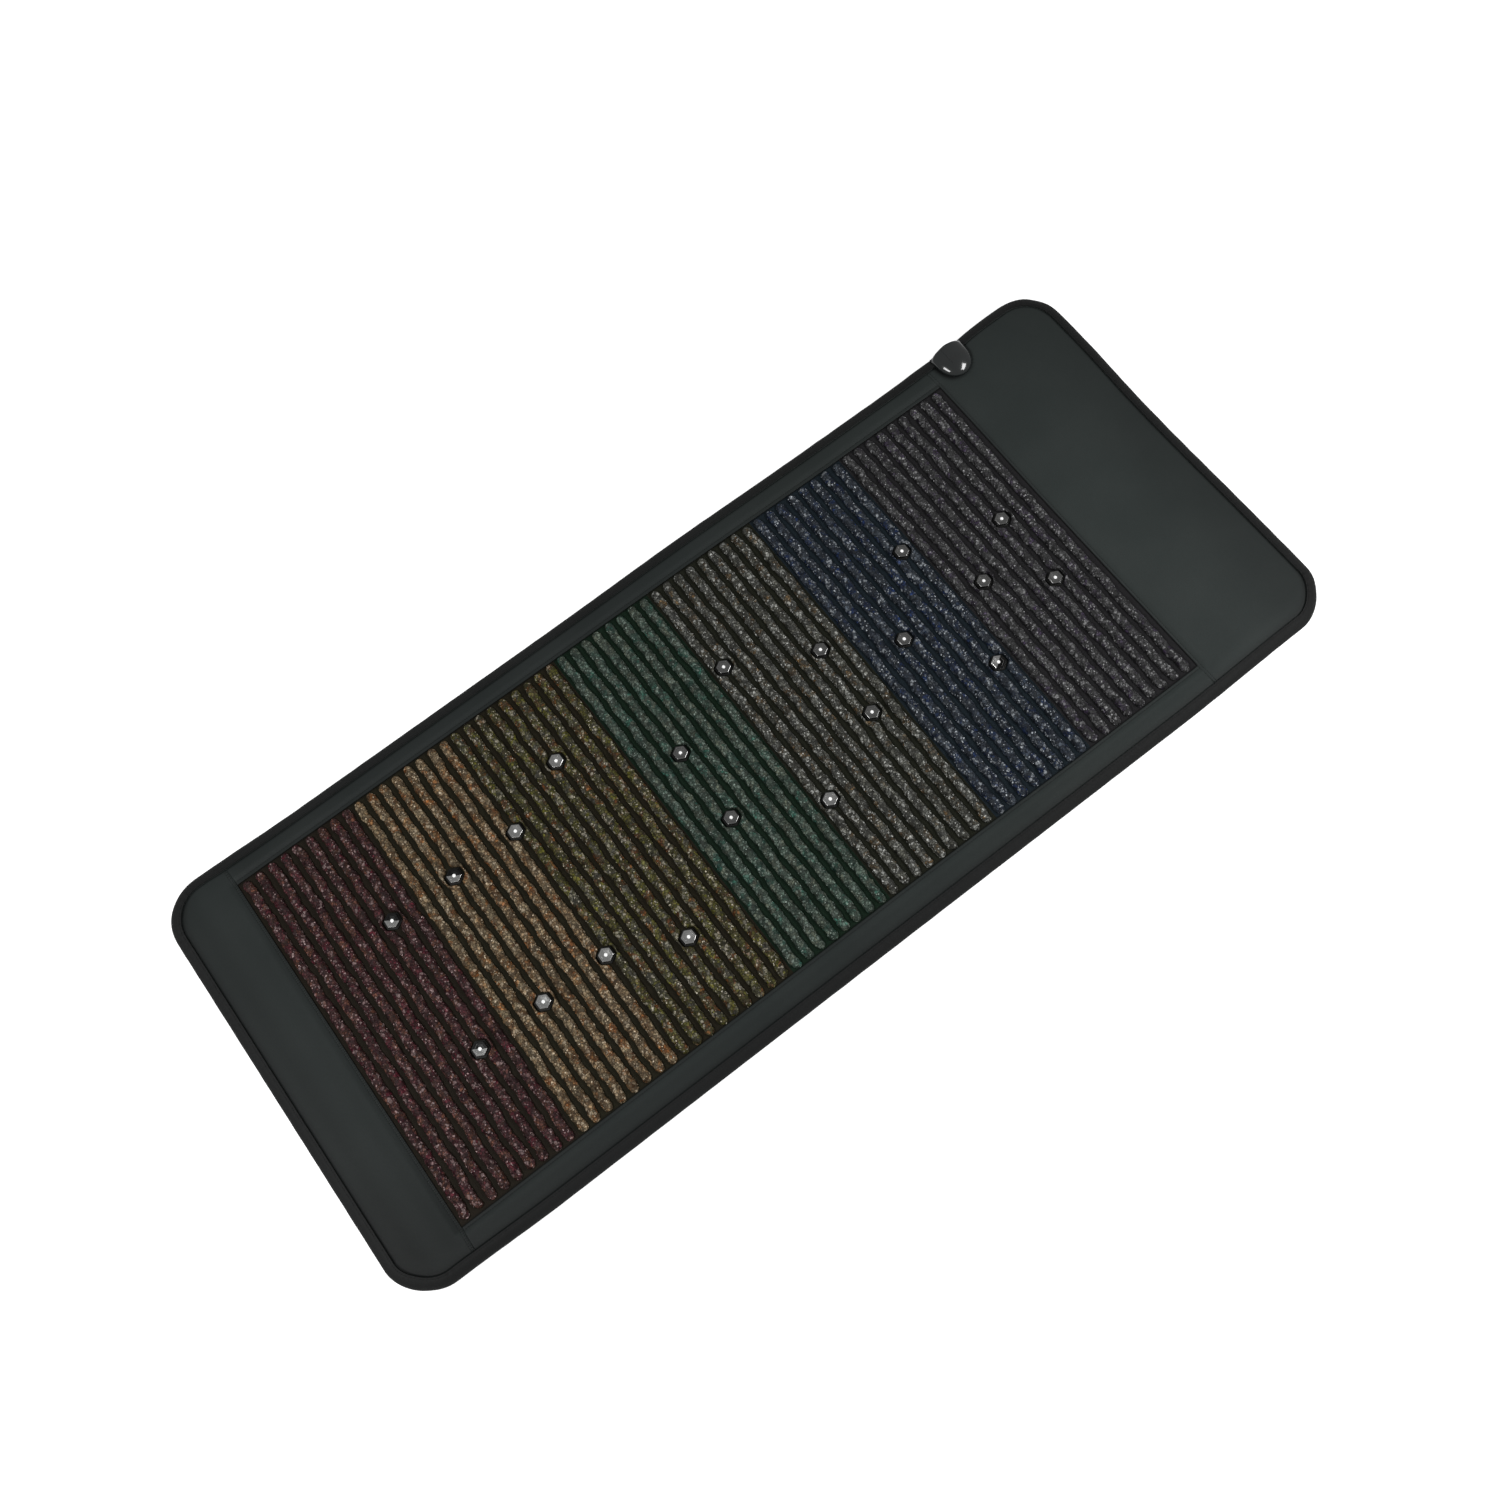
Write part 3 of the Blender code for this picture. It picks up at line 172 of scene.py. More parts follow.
# Each row of lights: the channel it follows, counted from nought at the foot, and its distance from the
# window's middle line
LIGHT_ROWS = (
    (6, 0.134), (11, 0.134), (16, 0.134), (21, 0.194), (28, 0.073), (34, 0.152),
    (40, 0.073), (45, 0.0), (49, 0.134), (52, 0.0), (56, 0.073),
)
FLANGE_HALF = 0.0145
FLANGE_CLEARANCE = 0.0008
LIGHT_TILT = 0.020


def rise(value, start, length):
    """From 0 at a start to 1 at a length past it, level at both ends."""
    t = np.clip((value - start) / length, 0.0, 1.0)
    return t * t * (3 - 2 * t)


def bell(value, middle, width):
    """A hump one high about a middle."""
    return np.exp(-(((value - middle) / width) ** 2))


def waves(seed, wavelength, *coords, terms=9):
    """Smooth random waves of about one wavelength, with a spread of about one."""
    rng = np.random.default_rng(seed)
    total = 0.0
    for _ in range(terms):
        way = rng.normal(size=len(coords))
        way /= np.linalg.norm(way)
        turn = 2 * math.pi / (wavelength * rng.uniform(0.6, 1.7))
        total = total + np.sin(turn * sum(w * c for w, c in zip(way, coords)) + rng.uniform(0, 2 * math.pi))
    return total / math.sqrt(terms / 2)


def scatter(a, b, seed):
    """A number from 0 to 1 for each whole-numbered place."""
    value = np.sin(a * 127.1 + b * 311.7 + seed * 74.7) * 43758.5453
    return value - np.floor(value)


def chips(seed, a, b, size):
    """How far crushed stone stands proud at each place, from about -1 to 1: tilted facets and crevices."""
    cell_a, cell_b = np.floor(a / size), np.floor(b / size)
    best = np.full(a.shape, 9.0)
    second = np.full(a.shape, 9.0)
    height = np.zeros(a.shape)
    for step_a in (-1, 0, 1):
        for step_b in (-1, 0, 1):
            ca, cb = cell_a + step_a, cell_b + step_b
            off_a = a / size - ca - 0.15 - 0.7 * scatter(ca, cb, seed)
            off_b = b / size - cb - 0.15 - 0.7 * scatter(ca, cb, seed + 1)
            distance = np.hypot(off_a, off_b)
            facet = 1.1 * (scatter(ca, cb, seed + 2) - 0.5)
            facet = facet + 1.5 * (scatter(ca, cb, seed + 3) - 0.5) * off_a
            facet = facet + 1.5 * (scatter(ca, cb, seed + 4) - 0.5) * off_b
            closer = distance < best
            second = np.where(closer, best, np.minimum(second, distance))
            height = np.where(closer, facet, height)
            best = np.where(closer, distance, best)
    return height - 0.8 * (1 - rise(second - best, 0, 0.35))


def inside_outline(x, y):
    """How far inside the mat's outline each place is."""
    qx = np.abs(x) - (HALF_LENGTH - CORNER_RADIUS)
    qy = np.abs(y) - (HALF_WIDTH - CORNER_RADIUS)
    return CORNER_RADIUS - np.hypot(np.maximum(qx, 0), np.maximum(qy, 0)) - np.minimum(np.maximum(qx, qy), 0)


def outside_window(x, y):
    """How far outside the window each place is."""
    qx = np.maximum(WINDOW_X0 - x, x - WINDOW_X1)
    qy = np.abs(y - WINDOW_MIDDLE) - WINDOW_HALF
    return np.hypot(np.maximum(qx, 0), np.maximum(qy, 0))


def outline_half_width(x, inset):
    """Half the mat's width at each X, for its outline moved in by an inset."""
    radius = CORNER_RADIUS - inset
    past = np.clip(np.abs(x) - (HALF_LENGTH - CORNER_RADIUS), 0, radius)
    return HALF_WIDTH - CORNER_RADIUS + np.sqrt(radius**2 - past**2)


def lean(x, y):
    """How far the channels lean towards the head end at each place, as the rows of the real mat do."""
    near = rise(-y, -0.10, 0.42)
    far = rise(y, 0.05, 0.27)
    mid_way = -0.0042 * bell(x, 0.31, 0.24) * near - 0.0008 * bell(x, -0.25, 0.20)
    return mid_way + 0.0017 * bell(x, -0.78, 0.11) + 0.0025 * rise(x, 0.42, 0.24) * far


def warp(points):
    """Draw the mat off square, as it lies in the photo: ends, window, long edges and corners."""
    x, y, z = points.T
    away = outside_window(x, y)
    weight = np.clip(away / 0.045, 0, 1)
    field = 1 - rise(away, 0, 0.035)
    across = np.clip(y / (2 * HALF_WIDTH) + 0.5, 0, 1)
    head = 0.0055 * rise(x, 0.60, 0.30) * (1 - across)
    foot = 0.0040 * rise(-x, 0.68, 0.20)
    head_end = rise(x, 0.80, 0.15) * (0.0040 * rise(y, 0.10, 0.18) - 0.0022 * bell(y, 0.02, 0.14))
    towards_head = rise(x, 0.10, 0.35)
    bend = 0.0001 - 0.0032 * towards_head
    bend = bend + rise(-y, -0.05, 0.35) * (0.0018 + 0.0005 * towards_head)
    held_back = 1 - 0.55 * bell(x, CONNECTOR_X, 0.045)
    far_edge = (0.0018 + 0.0028 * bell(x, 0.13, 0.17)) * rise(y, EDGE_BEND_START, EDGE_BEND_REACH)
    far_edge = held_back * (far_edge + 0.0091 * rise(x, 0.60, 0.27) * rise(y, 0.10, 0.30))
    near_edge = -0.0008 * rise(-y, EDGE_BEND_START, EDGE_BEND_REACH)
    side = np.where(y > 0, 0.0015, -0.0020)
    corner = side * rise(np.abs(x), 0.875, 0.06) * rise(np.abs(y), 0.325, 0.05)
    sideways = weight * (head + foot + far_edge) + field * bend + near_edge + np.sign(y) * corner
    longer = 0.0018 * rise(x, 0.942, 0.022) - 0.0027 * rise(-x, 0.925, 0.034) + np.sign(x) * corner
    return np.column_stack((x + weight * head_end + field * lean(x, y) + longer, y + sideways, z))


def outside_connector(x, y):
    """How far outside the connector's outline each place is."""
    middle = CONNECTOR_END_Y - CONNECTOR_STRAIGHT
    return np.hypot(x - CONNECTOR_X, np.minimum(y - middle, 0) / CONNECTOR_NOSE) - CONNECTOR_HALF


def hem_stitches(x, y, width):
    """A ridge one high along the hems' stitches beside the window."""
    from_stitches = np.abs(y - WINDOW_MIDDLE) - WINDOW_HALF - HEM_STITCH
    return np.where((x > WINDOW_X0) & (x < WINDOW_X1), bell(from_stitches, 0, width), 0)


def rim_height(inside, reach_up):
    """The rounded rim's level by the distance inside its edge, which ends reach_up over the rim's middle."""
    inner = np.clip(inside / RIM_REACH, 0, 1)
    return RIM_HEIGHT + reach_up * np.sqrt(1 - (1 - inner) ** 2)


def border_height(x, y):
    """The upper surface of the leather border: the rim, the padded middle, the hem and the seams' valleys."""
    inside = inside_outline(x, y)
    away = outside_window(x, y)
    rim = rim_height(inside - EDGE_INSET, TOP_LEVEL - RIM_HEIGHT)
    hem = HEM_TOP + (TOP_LEVEL - HEM_TOP) * rise(away, 0.003, 0.012)
    z = np.minimum(rim, hem)
    puff = rise(away, 0.012, 0.03) * rise(inside, 0.020, 0.03)
    z = z + puff * (CROWN + 0.00022 * waves(11, 0.16, x, y))
    for line in SEAM_LINES:
        z = z - STITCH_VALLEY * bell(x, line, STITCH_VALLEY_WIDTH)
    z = z - STITCH_VALLEY * hem_stitches(x, y, STITCH_VALLEY_WIDTH)
    z = z - 0.0007 * (1 - rise(away, 0, 0.0012))
    beside = np.abs(y - WINDOW_MIDDLE) > WINDOW_HALF + 0.0005
    for seam in (WINDOW_X0, WINDOW_X1):
        z = z - np.where(beside, 0.0011 * bell(x, seam, 0.0009), 0)
    dimple = 0.0010 * bell(np.maximum(outside_connector(x, y), 0), 0, 0.0045)
    z = np.where(away > HEM_WIDTH, np.maximum(z - dimple, PADDING_TOP), z)
    from_groove = inside - GROOVE_INSET
    z = z - GROOVE_DEPTH * bell(from_groove, 0, 0.0016)
    z = z - 0.0006 * (1 - rise(np.maximum(from_groove, 0), 0, 0.013))
    return z + 0.00006 * waves(12, 0.012, x, y) * bell(np.maximum(away, 0.008), 0.008, 0.012)


def border_shade(x, y):
    """Painted shade on the leather at each place, from 0 to 1: shadow and shade by the hem, stitches, binding
    and connector, with its painted light folded in.
    """
    away = outside_window(x, y)
    # Painted shadow at the hem's edge, painted shade over the hem and along its stitches
    shade = 0.80 * (1 - rise(away, 0, 0.0016)) + 0.16 * (1 - rise(away, 0.0060, 0.0030))
    shade = shade + 0.22 * hem_stitches(x, y, 0.0009)
    # Painted shade beside the binding, wider and deeper on the near side and at the foot
    near = np.maximum(rise(-y, 0.30, 0.06), rise(-x, 0.90, 0.03))
    from_groove = np.maximum(inside_outline(x, y) - GROOVE_INSET, 0)
    shade = shade + (0.40 + 0.15 * near) * (1 - rise(from_groove, 0, 0.005 + 0.008 * near))
    # Painted shadow round the connector's foot, wider towards the foot end
    towards_foot = rise(-x, -CONNECTOR_X, 0.030)
    ring = 1 - rise(outside_connector(x, y), 0, 0.0060 + 0.0060 * towards_foot)
    shade = shade + (0.95 + 0.2 * towards_foot) * ring
    # The leather's painted light takes some of the painted shade off, or adds to it
    left = painted_light_level(x, y) * (1 - (1 - DARKEST) * np.clip(shade, 0, 1)) / PAINTED_LIGHT_LIFT
    return np.clip((1 - left) / (1 - DARKEST), 0, 1)


def painted_light_level(x, y):
    """The leather's painted light, from about 0.4 to PAINTED_LIGHT_LIFT: it rises towards the window's head
    end.
    """
    head_place = rise(x, 0.66, 0.05) * 0.25 * (1 - 2 * np.abs(y))
    head_end = rise(x, 0.78, 0.18) * 0.62 * (1 - 0.5 * rise(y, 0, 0.30))
    foot_place = rise(-x, 0.80, 0.05) * (0.28 - 0.34 * rise(-y, 0.12, 0.26))
    foot_end = rise(-x, 0.88, 0.04) * 0.20
    # A painted highlight on the near strip just past its hem's stitches
    hem_place = 0.30 * bell(outside_window(x, y), 0.0095, 0.0070) * rise(-y, 0.345, 0.004)
    return 1.06 + (0.35 - 0.27 * y) * x + head_place - head_end + foot_place - foot_end + hem_place


def grid_faces(rows, columns):
    """Quads of a grid of points numbered row by row."""
    first = (np.arange(rows - 1)[:, None] * columns + np.arange(columns - 1)[None, :]).ravel()
    return np.column_stack((first, first + 1, first + columns + 1, first + columns))


def ring_faces(rows, columns):
    """Quads between rows that each close on themselves."""
    row, column = np.divmod(np.arange((rows - 1) * columns), columns)
    first = row * columns + column
    second = row * columns + (column + 1) % columns
    return np.column_stack((first, second, second + columns, first + columns))


def closed_faces(rows, columns):
    """Faces of rows that each close on themselves, with a face over each end."""
    caps = [list(range(columns))[::-1], list(range((rows - 1) * columns, rows * columns))]
    return ring_faces(rows, columns).tolist() + caps


def points_of(mesh):
    """The mesh's points, one row each."""
    points = np.empty(len(mesh.vertices) * 3)
    mesh.vertices.foreach_get("co", points)
    return points.reshape(-1, 3)


def mesh_of(name, points, faces, sharp=None):
    """A smooth-shaded closed mesh that faces out, with edges past an angle in degrees kept sharp if asked."""
    mesh = bpy.data.meshes.new(name)
    mesh.from_pydata(np.asarray(points).tolist(), [], [list(map(int, face)) for face in faces])
    mesh.shade_smooth()
    if sharp is not None:
        mesh.set_sharp_from_angle(angle=math.radians(sharp))
    mesh.calc_loop_triangles()
    corners = np.empty(len(mesh.loop_triangles) * 3, np.int32)
    mesh.loop_triangles.foreach_get("vertices", corners)
    a, b, c = points_of(mesh)[corners.reshape(-1, 3).T]
    if np.einsum("ij,ij->i", a, np.cross(b, c)).sum() < 0:
        mesh.flip_normals()
    return mesh


def slab_mesh(name, x, y, top, bottom, sharp=50):
    """A closed sheet between two surfaces over one grid of places."""
    rows, columns = x.shape
    upper = np.column_stack((x.ravel(), y.ravel(), top.ravel()))
    lower = np.column_stack((x.ravel(), y.ravel(), bottom.ravel()))
    count = rows * columns
    index = np.arange(count).reshape(rows, columns)
    rim = np.concatenate((index[0, :], index[1:, -1], index[-1, -2::-1], index[-2:0:-1, 0]))
    after = np.roll(rim, -1)
    walls = np.column_stack((rim, rim + count, after + count, after))
    faces = np.concatenate((grid_faces(rows, columns)[:, ::-1], grid_faces(rows, columns) + count, walls))
    return mesh_of(name, warp(np.concatenate((upper, lower))), faces, sharp)


def shade_points(mesh, shade):
    """Store each point's painted shade, how much darker it is, for the looks that read it."""
    attribute = mesh.attributes.new("shade", "FLOAT", "POINT")
    attribute.data.foreach_set("value", np.asarray(shade, float).ravel())


def link(name, data):
    """An object with a mesh, lamp or camera, put into the scene."""
    made = bpy.data.objects.new(name, data)
    SCENE.collection.objects.link(made)
    return made


def add_piece(name, mesh, looks, replaces=()):
    """Link a piece, give it its materials, and let it ride on the mat."""
    piece = link(name, mesh)
    for look in looks if isinstance(looks, list) else [looks]:
        mesh.materials.append(look)
    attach(piece, "root")
    for node in replaces:
        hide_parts(node)
    return piece


def cut(piece, cutter_mesh):
    """Cut a closed mesh out of a piece for good."""
    cutter = link("cutter", cutter_mesh)
    modifier = piece.modifiers.new("cut", "BOOLEAN")
    modifier.operation = "DIFFERENCE"
    modifier.solver = "EXACT"
    modifier.object = cutter
    graph = bpy.context.evaluated_depsgraph_get()
    whole = piece.data
    piece.data = bpy.data.meshes.new_from_object(piece.evaluated_get(graph))
    piece.modifiers.clear()
    bpy.data.objects.remove(cutter)
    bpy.data.meshes.remove(whole)


class Look:
    """A node material: short calls that add nodes and return their outputs."""

    def __init__(self, name):
        self.material = bpy.data.materials.new(name)
        self.material.use_nodes = True
        self.tree = self.material.node_tree
        self.shader = self.tree.nodes["Principled BSDF"]
        self.place = self.add("ShaderNodeTexCoord", "Object")

    def put(self, socket, value):
        """Link an input to an output, or set it."""
        if isinstance(value, bpy.types.NodeSocket):
            self.tree.links.new(value, socket)
        elif isinstance(value, tuple) and len(value) == 3 and socket.type == "RGBA":
            socket.default_value = (*value, 1.0)
        else:
            socket.default_value = value

    def add(self, kind, output, inputs=None, **settings):
        """Add a node with its settings and inputs, and return one of its outputs."""
        made = self.tree.nodes.new(kind)
        for key, value in settings.items():
            setattr(made, key, value)
        for socket, value in (inputs or {}).items():
            if value is not None:
                self.put(made.inputs[socket], value)
        return made.outputs[output]

    def set(self, **values):
        """Set or link the shader's inputs, named with underscores for spaces."""
        for key, value in values.items():
            self.put(self.shader.inputs[key.replace("_", " ")], value)

    def math(self, operation, a, b=0.0):
        return self.add("ShaderNodeMath", 0, {0: a, 1: b}, operation=operation)

    def both(self, a, a_share, b, b_share):
        """Two values added up, each times its share."""
        return self.math("ADD", self.math("MULTIPLY", a, a_share), self.math("MULTIPLY", b, b_share))

    def vector(self, operation, a, b=None, scale=None):
        return self.add("ShaderNodeVectorMath", 0, {0: a, 1: b, "Scale": scale}, operation=operation)

    def shaded(self, colour, dark):
        """A colour that turns towards a dark one by the painted shade that the mesh carries."""
        return self.mix(self.add("ShaderNodeAttribute", "Fac", attribute_name="shade"), colour, dark)

    def noise(self, scale, detail=2.0, roughness=0.5):
        inputs = {"Vector": self.place, "Scale": scale, "Detail": detail, "Roughness": roughness}
        return self.add("ShaderNodeTexNoise", "Fac", inputs)

    def bent(self, scale, detail, distance):
        """The place, moved about by a noise so that cells get uneven sides."""
        moved = self.vector("SCALE", self.noise(scale, detail), scale=distance)
        return self.vector("ADD", self.place, moved)

    def voronoi(self, scale, feature, output, place):
        return self.add("ShaderNodeTexVoronoi", output, {"Vector": place, "Scale": scale}, feature=feature)

    def ramp(self, value, stops):
        """A colour picked from stops, each a position and a colour."""
        picked = self.add("ShaderNodeValToRGB", "Color", {"Fac": value})
        elements = picked.node.color_ramp.elements
        while len(elements) < len(stops):
            elements.new(0.5)
        for element, (position, colour) in zip(elements, stops):
            element.position = position
            element.color = (*colour, 1.0)
        return picked

    def range(self, value, low, high, to_low=0.0, to_high=1.0):
        inputs = {"Value": value, "From Min": low, "From Max": high, "To Min": to_low, "To Max": to_high}
        return self.add("ShaderNodeMapRange", "Result", inputs)

    def mix(self, share, a, b):
        return self.add("ShaderNodeMix", "Result", {"Factor": share, "A": a, "B": b}, data_type="RGBA")

    def parts(self, value):
        return self.add("ShaderNodeSeparateXYZ", 0, {0: value}).node.outputs

    def bump(self, height, strength, distance, before=None):
        inputs = {"Height": height, "Strength": strength, "Distance": distance, "Normal": before}
        return self.add("ShaderNodeBump", "Normal", inputs)


def scaled(colour, share):
    """A colour times a share."""
    return tuple(share * part for part in colour)


def leather_look(name, dark, light, roughness, shine, grain=900.0):
    """Embossed leather: pebbles with creases between them, a few soft stains and wear."""
    look = Look(name)
    pebbles = look.voronoi(grain, "DISTANCE_TO_EDGE", "Distance", look.bent(180.0, 2.0, 0.0012))
    crease = look.range(pebbles, 0.0, 0.22)
    cloud = look.noise(6.0, 4.0)
    fine = look.noise(1600.0)
    base = look.mix(look.range(cloud, 0.35, 0.65), dark, light)
    # The creases between the pebbles are painted darker, as shade
    base = look.mix(look.range(crease, 0.0, 1.0, 0.30, 0.0), base, scaled(dark, 0.45))
    look.set(Base_Color=look.shaded(base, scaled(dark, DARKEST)), Specular_IOR_Level=shine)
    rough = look.range(cloud, 0.3, 0.7, roughness - 0.03, roughness + 0.03)
    rough = look.math("ADD", rough, look.range(crease, 0.0, 1.0, 0.12, 0.0))
    look.set(Roughness=look.math("ADD", rough, look.range(fine, 0.3, 0.7, -0.03, 0.03)))
    look.set(Normal=look.bump(look.both(crease, 0.8, fine, 0.35), 0.55, 0.00012))
    return look.material


def stone_look(name, dark, hues, pale):
    """Crushed stone under a fine net: patches of mixed hue, tilted chips, crevices painted dark as shade, and
    glints painted near white as well as glossy.
    """
    look = Look(name)
    bent = look.bent(260.0, 1.0, 0.0018)
    chip = look.voronoi(CHIP_GRAIN, "F1", "Color", bent)
    edge = look.voronoi(CHIP_GRAIN, "DISTANCE_TO_EDGE", "Distance", bent)
    grit = look.voronoi(470.0, "F1", "Color", bent)
    patch_red, patch_green, _ = look.parts(look.voronoi(78.0, "F1", "Color", bent))
    chip_red, chip_green, chip_blue = look.parts(chip)
    grit_red, grit_green, grit_blue = look.parts(grit)
    pick = look.both(patch_red, 0.70, chip_red, 0.30)
    hue = look.ramp(pick, ((0.08, hues[2]), (0.32, hues[0]), (0.55, hues[1]), (0.82, hues[3])))
    power = look.range(chip_green, 0, 1, -1.15, 0.95)
    power = look.math("ADD", power, look.range(grit_red, 0, 1, -0.45, 0.45))
    power = look.math("ADD", power, look.range(patch_green, 0, 1, -0.55, 0.55))
    base = look.vector("SCALE", hue, scale=look.math("POWER", 2.0, power))
    pale_grit = look.range(grit_blue, 0.2, 0.7, 0.25, 0.75)
    base = look.mix(look.math("MULTIPLY", look.range(chip_blue, 0.86, 0.93), pale_grit), base, pale)
    # Painted glints: a few small grains turn near white, as painted highlights, and also get low roughness
    painted_glint = look.range(grit_green, 0.935, 0.960)
    brightest = tuple(min(0.9, part) for part in scaled(pale, 2.0))
    base = look.mix(look.math("MULTIPLY", painted_glint, 0.80), base, brightest)
    # Painted shade in the crevices between the chips
    base = look.mix(look.range(edge, 0.02, 0.20, 0.80, 0.0), base, dark)
    look.set(Base_Color=base, Specular_IOR_Level=0.22, Roughness=look.range(painted_glint, 0.0, 1.0, 0.62, 0.18))
    tilts = []
    for cells, amount in ((chip, 0.80), (grit, 0.70)):
        tilts.append(look.vector("SCALE", look.vector("SUBTRACT", cells, (0.5, 0.5, 0.5)), scale=amount))
    tilt = look.vector("ADD", tilts[0], tilts[1])
    facet = look.vector("NORMALIZE", look.vector("ADD", look.add("ShaderNodeNewGeometry", "Normal"), tilt))
    look.set(Normal=look.bump(edge, 0.5, 0.0008, before=facet))
    return look.material


def mesh_look(name, tint):
    """Open black netting: round holes in staggered rows over a dark ground."""
    look = Look(name)
    x, y, _ = look.parts(look.place)
    wave_x = look.math("SINE", look.math("MULTIPLY", x, 2 * math.pi / 0.0020))
    wave_y = look.math("SINE", look.math("MULTIPLY", y, 2 * math.pi / 0.0026))
    hole = look.range(look.math("MULTIPLY", wave_x, wave_y), 0.05, 0.45)
    base = look.mix(hole, tint, scaled(tint, 0.25))
    base = look.mix(look.range(look.noise(40.0), 0.3, 0.7, 0.0, 0.35), base, scaled(tint, 0.6))
    look.set(Base_Color=look.shaded(base, scaled(tint, DARKEST)))
    look.set(Specular_IOR_Level=0.12, Roughness=look.range(hole, 0.0, 1.0, 0.62, 0.9))
    look.set(Normal=look.bump(look.math("SUBTRACT", 1.0, hole), 0.8, 0.0003))
    return look.material


def felt_look(name, colour, scale=420.0):
    """Matted fibre: short crossing strands and a rough surface."""
    look = Look(name)
    fibres = look.noise(scale, 6.0, roughness=0.75)
    base = look.mix(look.range(fibres, 0.3, 0.7), scaled(colour, 0.7), colour)
    look.set(Base_Color=base, Specular_IOR_Level=0.2, Roughness=look.range(fibres, 0.2, 0.8, 0.85, 0.97))
    look.set(Normal=look.bump(fibres, 0.6, 0.0004))
    return look.material


def moulded_look(name, colour, roughness, coat=0.0, glow=0.0, shine=0.5):
    """Moulded plastic: faint flow marks and a fine orange peel, with a glow where asked, which is a painted
    highlight.
    """
    look = Look(name)
    flow = look.noise(35.0, 3.0)
    peel = look.noise(900.0)
    look.set(Base_Color=look.mix(look.range(flow, 0.3, 0.7), colour, scaled(colour, 1.25)))
    look.set(Roughness=look.range(look.math("ADD", flow, peel), 0.7, 1.3, roughness - 0.02, roughness + 0.03))
    look.set(Specular_IOR_Level=shine, Coat_Weight=coat, Coat_Roughness=0.04, Emission_Strength=glow)
    look.set(Normal=look.bump(peel, 0.05, 0.0002))
    return look.material


def metal_look(name, colour, roughness):
    """Plated metal with fine brushed marks."""
    look = Look(name)
    marks = look.noise(700.0, 3.0)
    look.set(Base_Color=look.mix(look.range(marks, 0.3, 0.7), colour, scaled(colour, 0.8)), Metallic=1.0)
    look.set(Roughness=look.range(marks, 0.3, 0.7, roughness - 0.05, roughness + 0.08))
    look.set(Normal=look.bump(marks, 0.15, 0.0001))
    return look.material


# The leather's colours are set lighter than its own, and the painted light and shade on its pieces bring them
# back down
LEATHER_LOOK = leather_look("leather", (0.0256, 0.0319, 0.0307), (0.0319, 0.0384, 0.0369), 0.50, shine=0.16)
BINDING_LOOK = leather_look(
    "binding_leather", (0.0085, 0.0092, 0.0090), (0.0112, 0.0120, 0.0118), 0.60, shine=0.20, grain=1100.0
)
THREAD_LOOK = felt_look("thread", (0.010, 0.011, 0.011), scale=1500.0)
FLANGE_LOOK = moulded_look("light_flange", (0.0060, 0.0060, 0.0055), 0.40, shine=0.20)
# The lights' metal in a bright, a dimmer and a dark copy: painted reflection, for dishes that catch more or
# less light
BODY_LOOK = metal_look("light_body", (0.54, 0.54, 0.53), 0.24)
PAINTED_DIM_BODY_LOOK = metal_look("light_body_painted_dim", (0.26, 0.26, 0.255), 0.24)
DARK_BODY_LOOK = metal_look("light_body_in_shade", (0.025, 0.025, 0.025), 0.30)
# The lens glows a little: a painted highlight for the bright dot in each light's middle
LENS_LOOK = moulded_look("light_lens_clear", (0.72, 0.72, 0.71), 0.10, coat=1.0, glow=0.35)
SHELL_LOOK = moulded_look("gloss_black_shell", (0.0085, 0.0105, 0.0105), 0.17, coat=0.8)
SOCKET_LOOK = moulded_look("socket_black", (0.012, 0.012, 0.012), 0.45)

# How far inside the outline the panels end, under the binding
CLOSE_TO_EDGE = 0.0165
# Lines of the panels' grids: their distances from the window, and from the end near the outline
EDGE_DISTANCES = np.concatenate((
    (0, 0.0004, 0.0009),
    np.arange(0.0014, 0.0062, 0.0004),
    (0.0070, 0.0080, 0.0092, 0.0105, 0.0120, 0.0135, 0.0155, 0.0180),
    (0.0210, 0.0250, 0.0290, 0.0320),
    np.arange(0.0345, 0.0402, 0.0006),
    (0.0405,),
))
EDGE_ROWS = np.concatenate(((0, 0.0010), np.arange(0.0018, 0.0068, 0.0006), (0.0080, 0.0100, 0.0130)))


def panel(name, x, y):
    """One leather panel of the border over a grid of places, folded under at the window."""
    top = border_height(x, y)
    folded = outside_window(x, y) < HEM_WIDTH - 0.0005
    under = np.where(folded, WEB_Z + 0.00005, top - LEATHER_THICKNESS)
    mesh = slab_mesh(name, x, y, top, under)
    shade_points(mesh, np.tile(border_shade(x, y).ravel(), 2))
    piece = add_piece(name, mesh, LEATHER_LOOK, [name])
    return piece


def build_side_strips():
    """The two long strips beside the window."""
    near_seam = np.array([0.00012, 0.0005, 0.0010, 0.0017, 0.0027, 0.0042])
    middle = np.linspace(WINDOW_X0 + 0.006, WINDOW_X1 - 0.006, 300)
    xs = np.concatenate((WINDOW_X0 + near_seam, middle, (WINDOW_X1 - near_seam)[::-1]))
    for side, name in ((-1, "side_strip_near"), (1, "side_strip_far")):
        wider = -side * WINDOW_MIDDLE
        # Between the hem's lines and the groove's, the grid takes up what this strip is wider
        moved = (0, 0.0135, 0.0320 + wider, 0.0410 + wider)
        distances = np.interp(EDGE_DISTANCES, (0, 0.0135, 0.0320, 0.0410), moved)
        x, away = np.meshgrid(xs, distances, indexing="ij")
        panel(name, x, WINDOW_MIDDLE + side * (WINDOW_HALF + away))


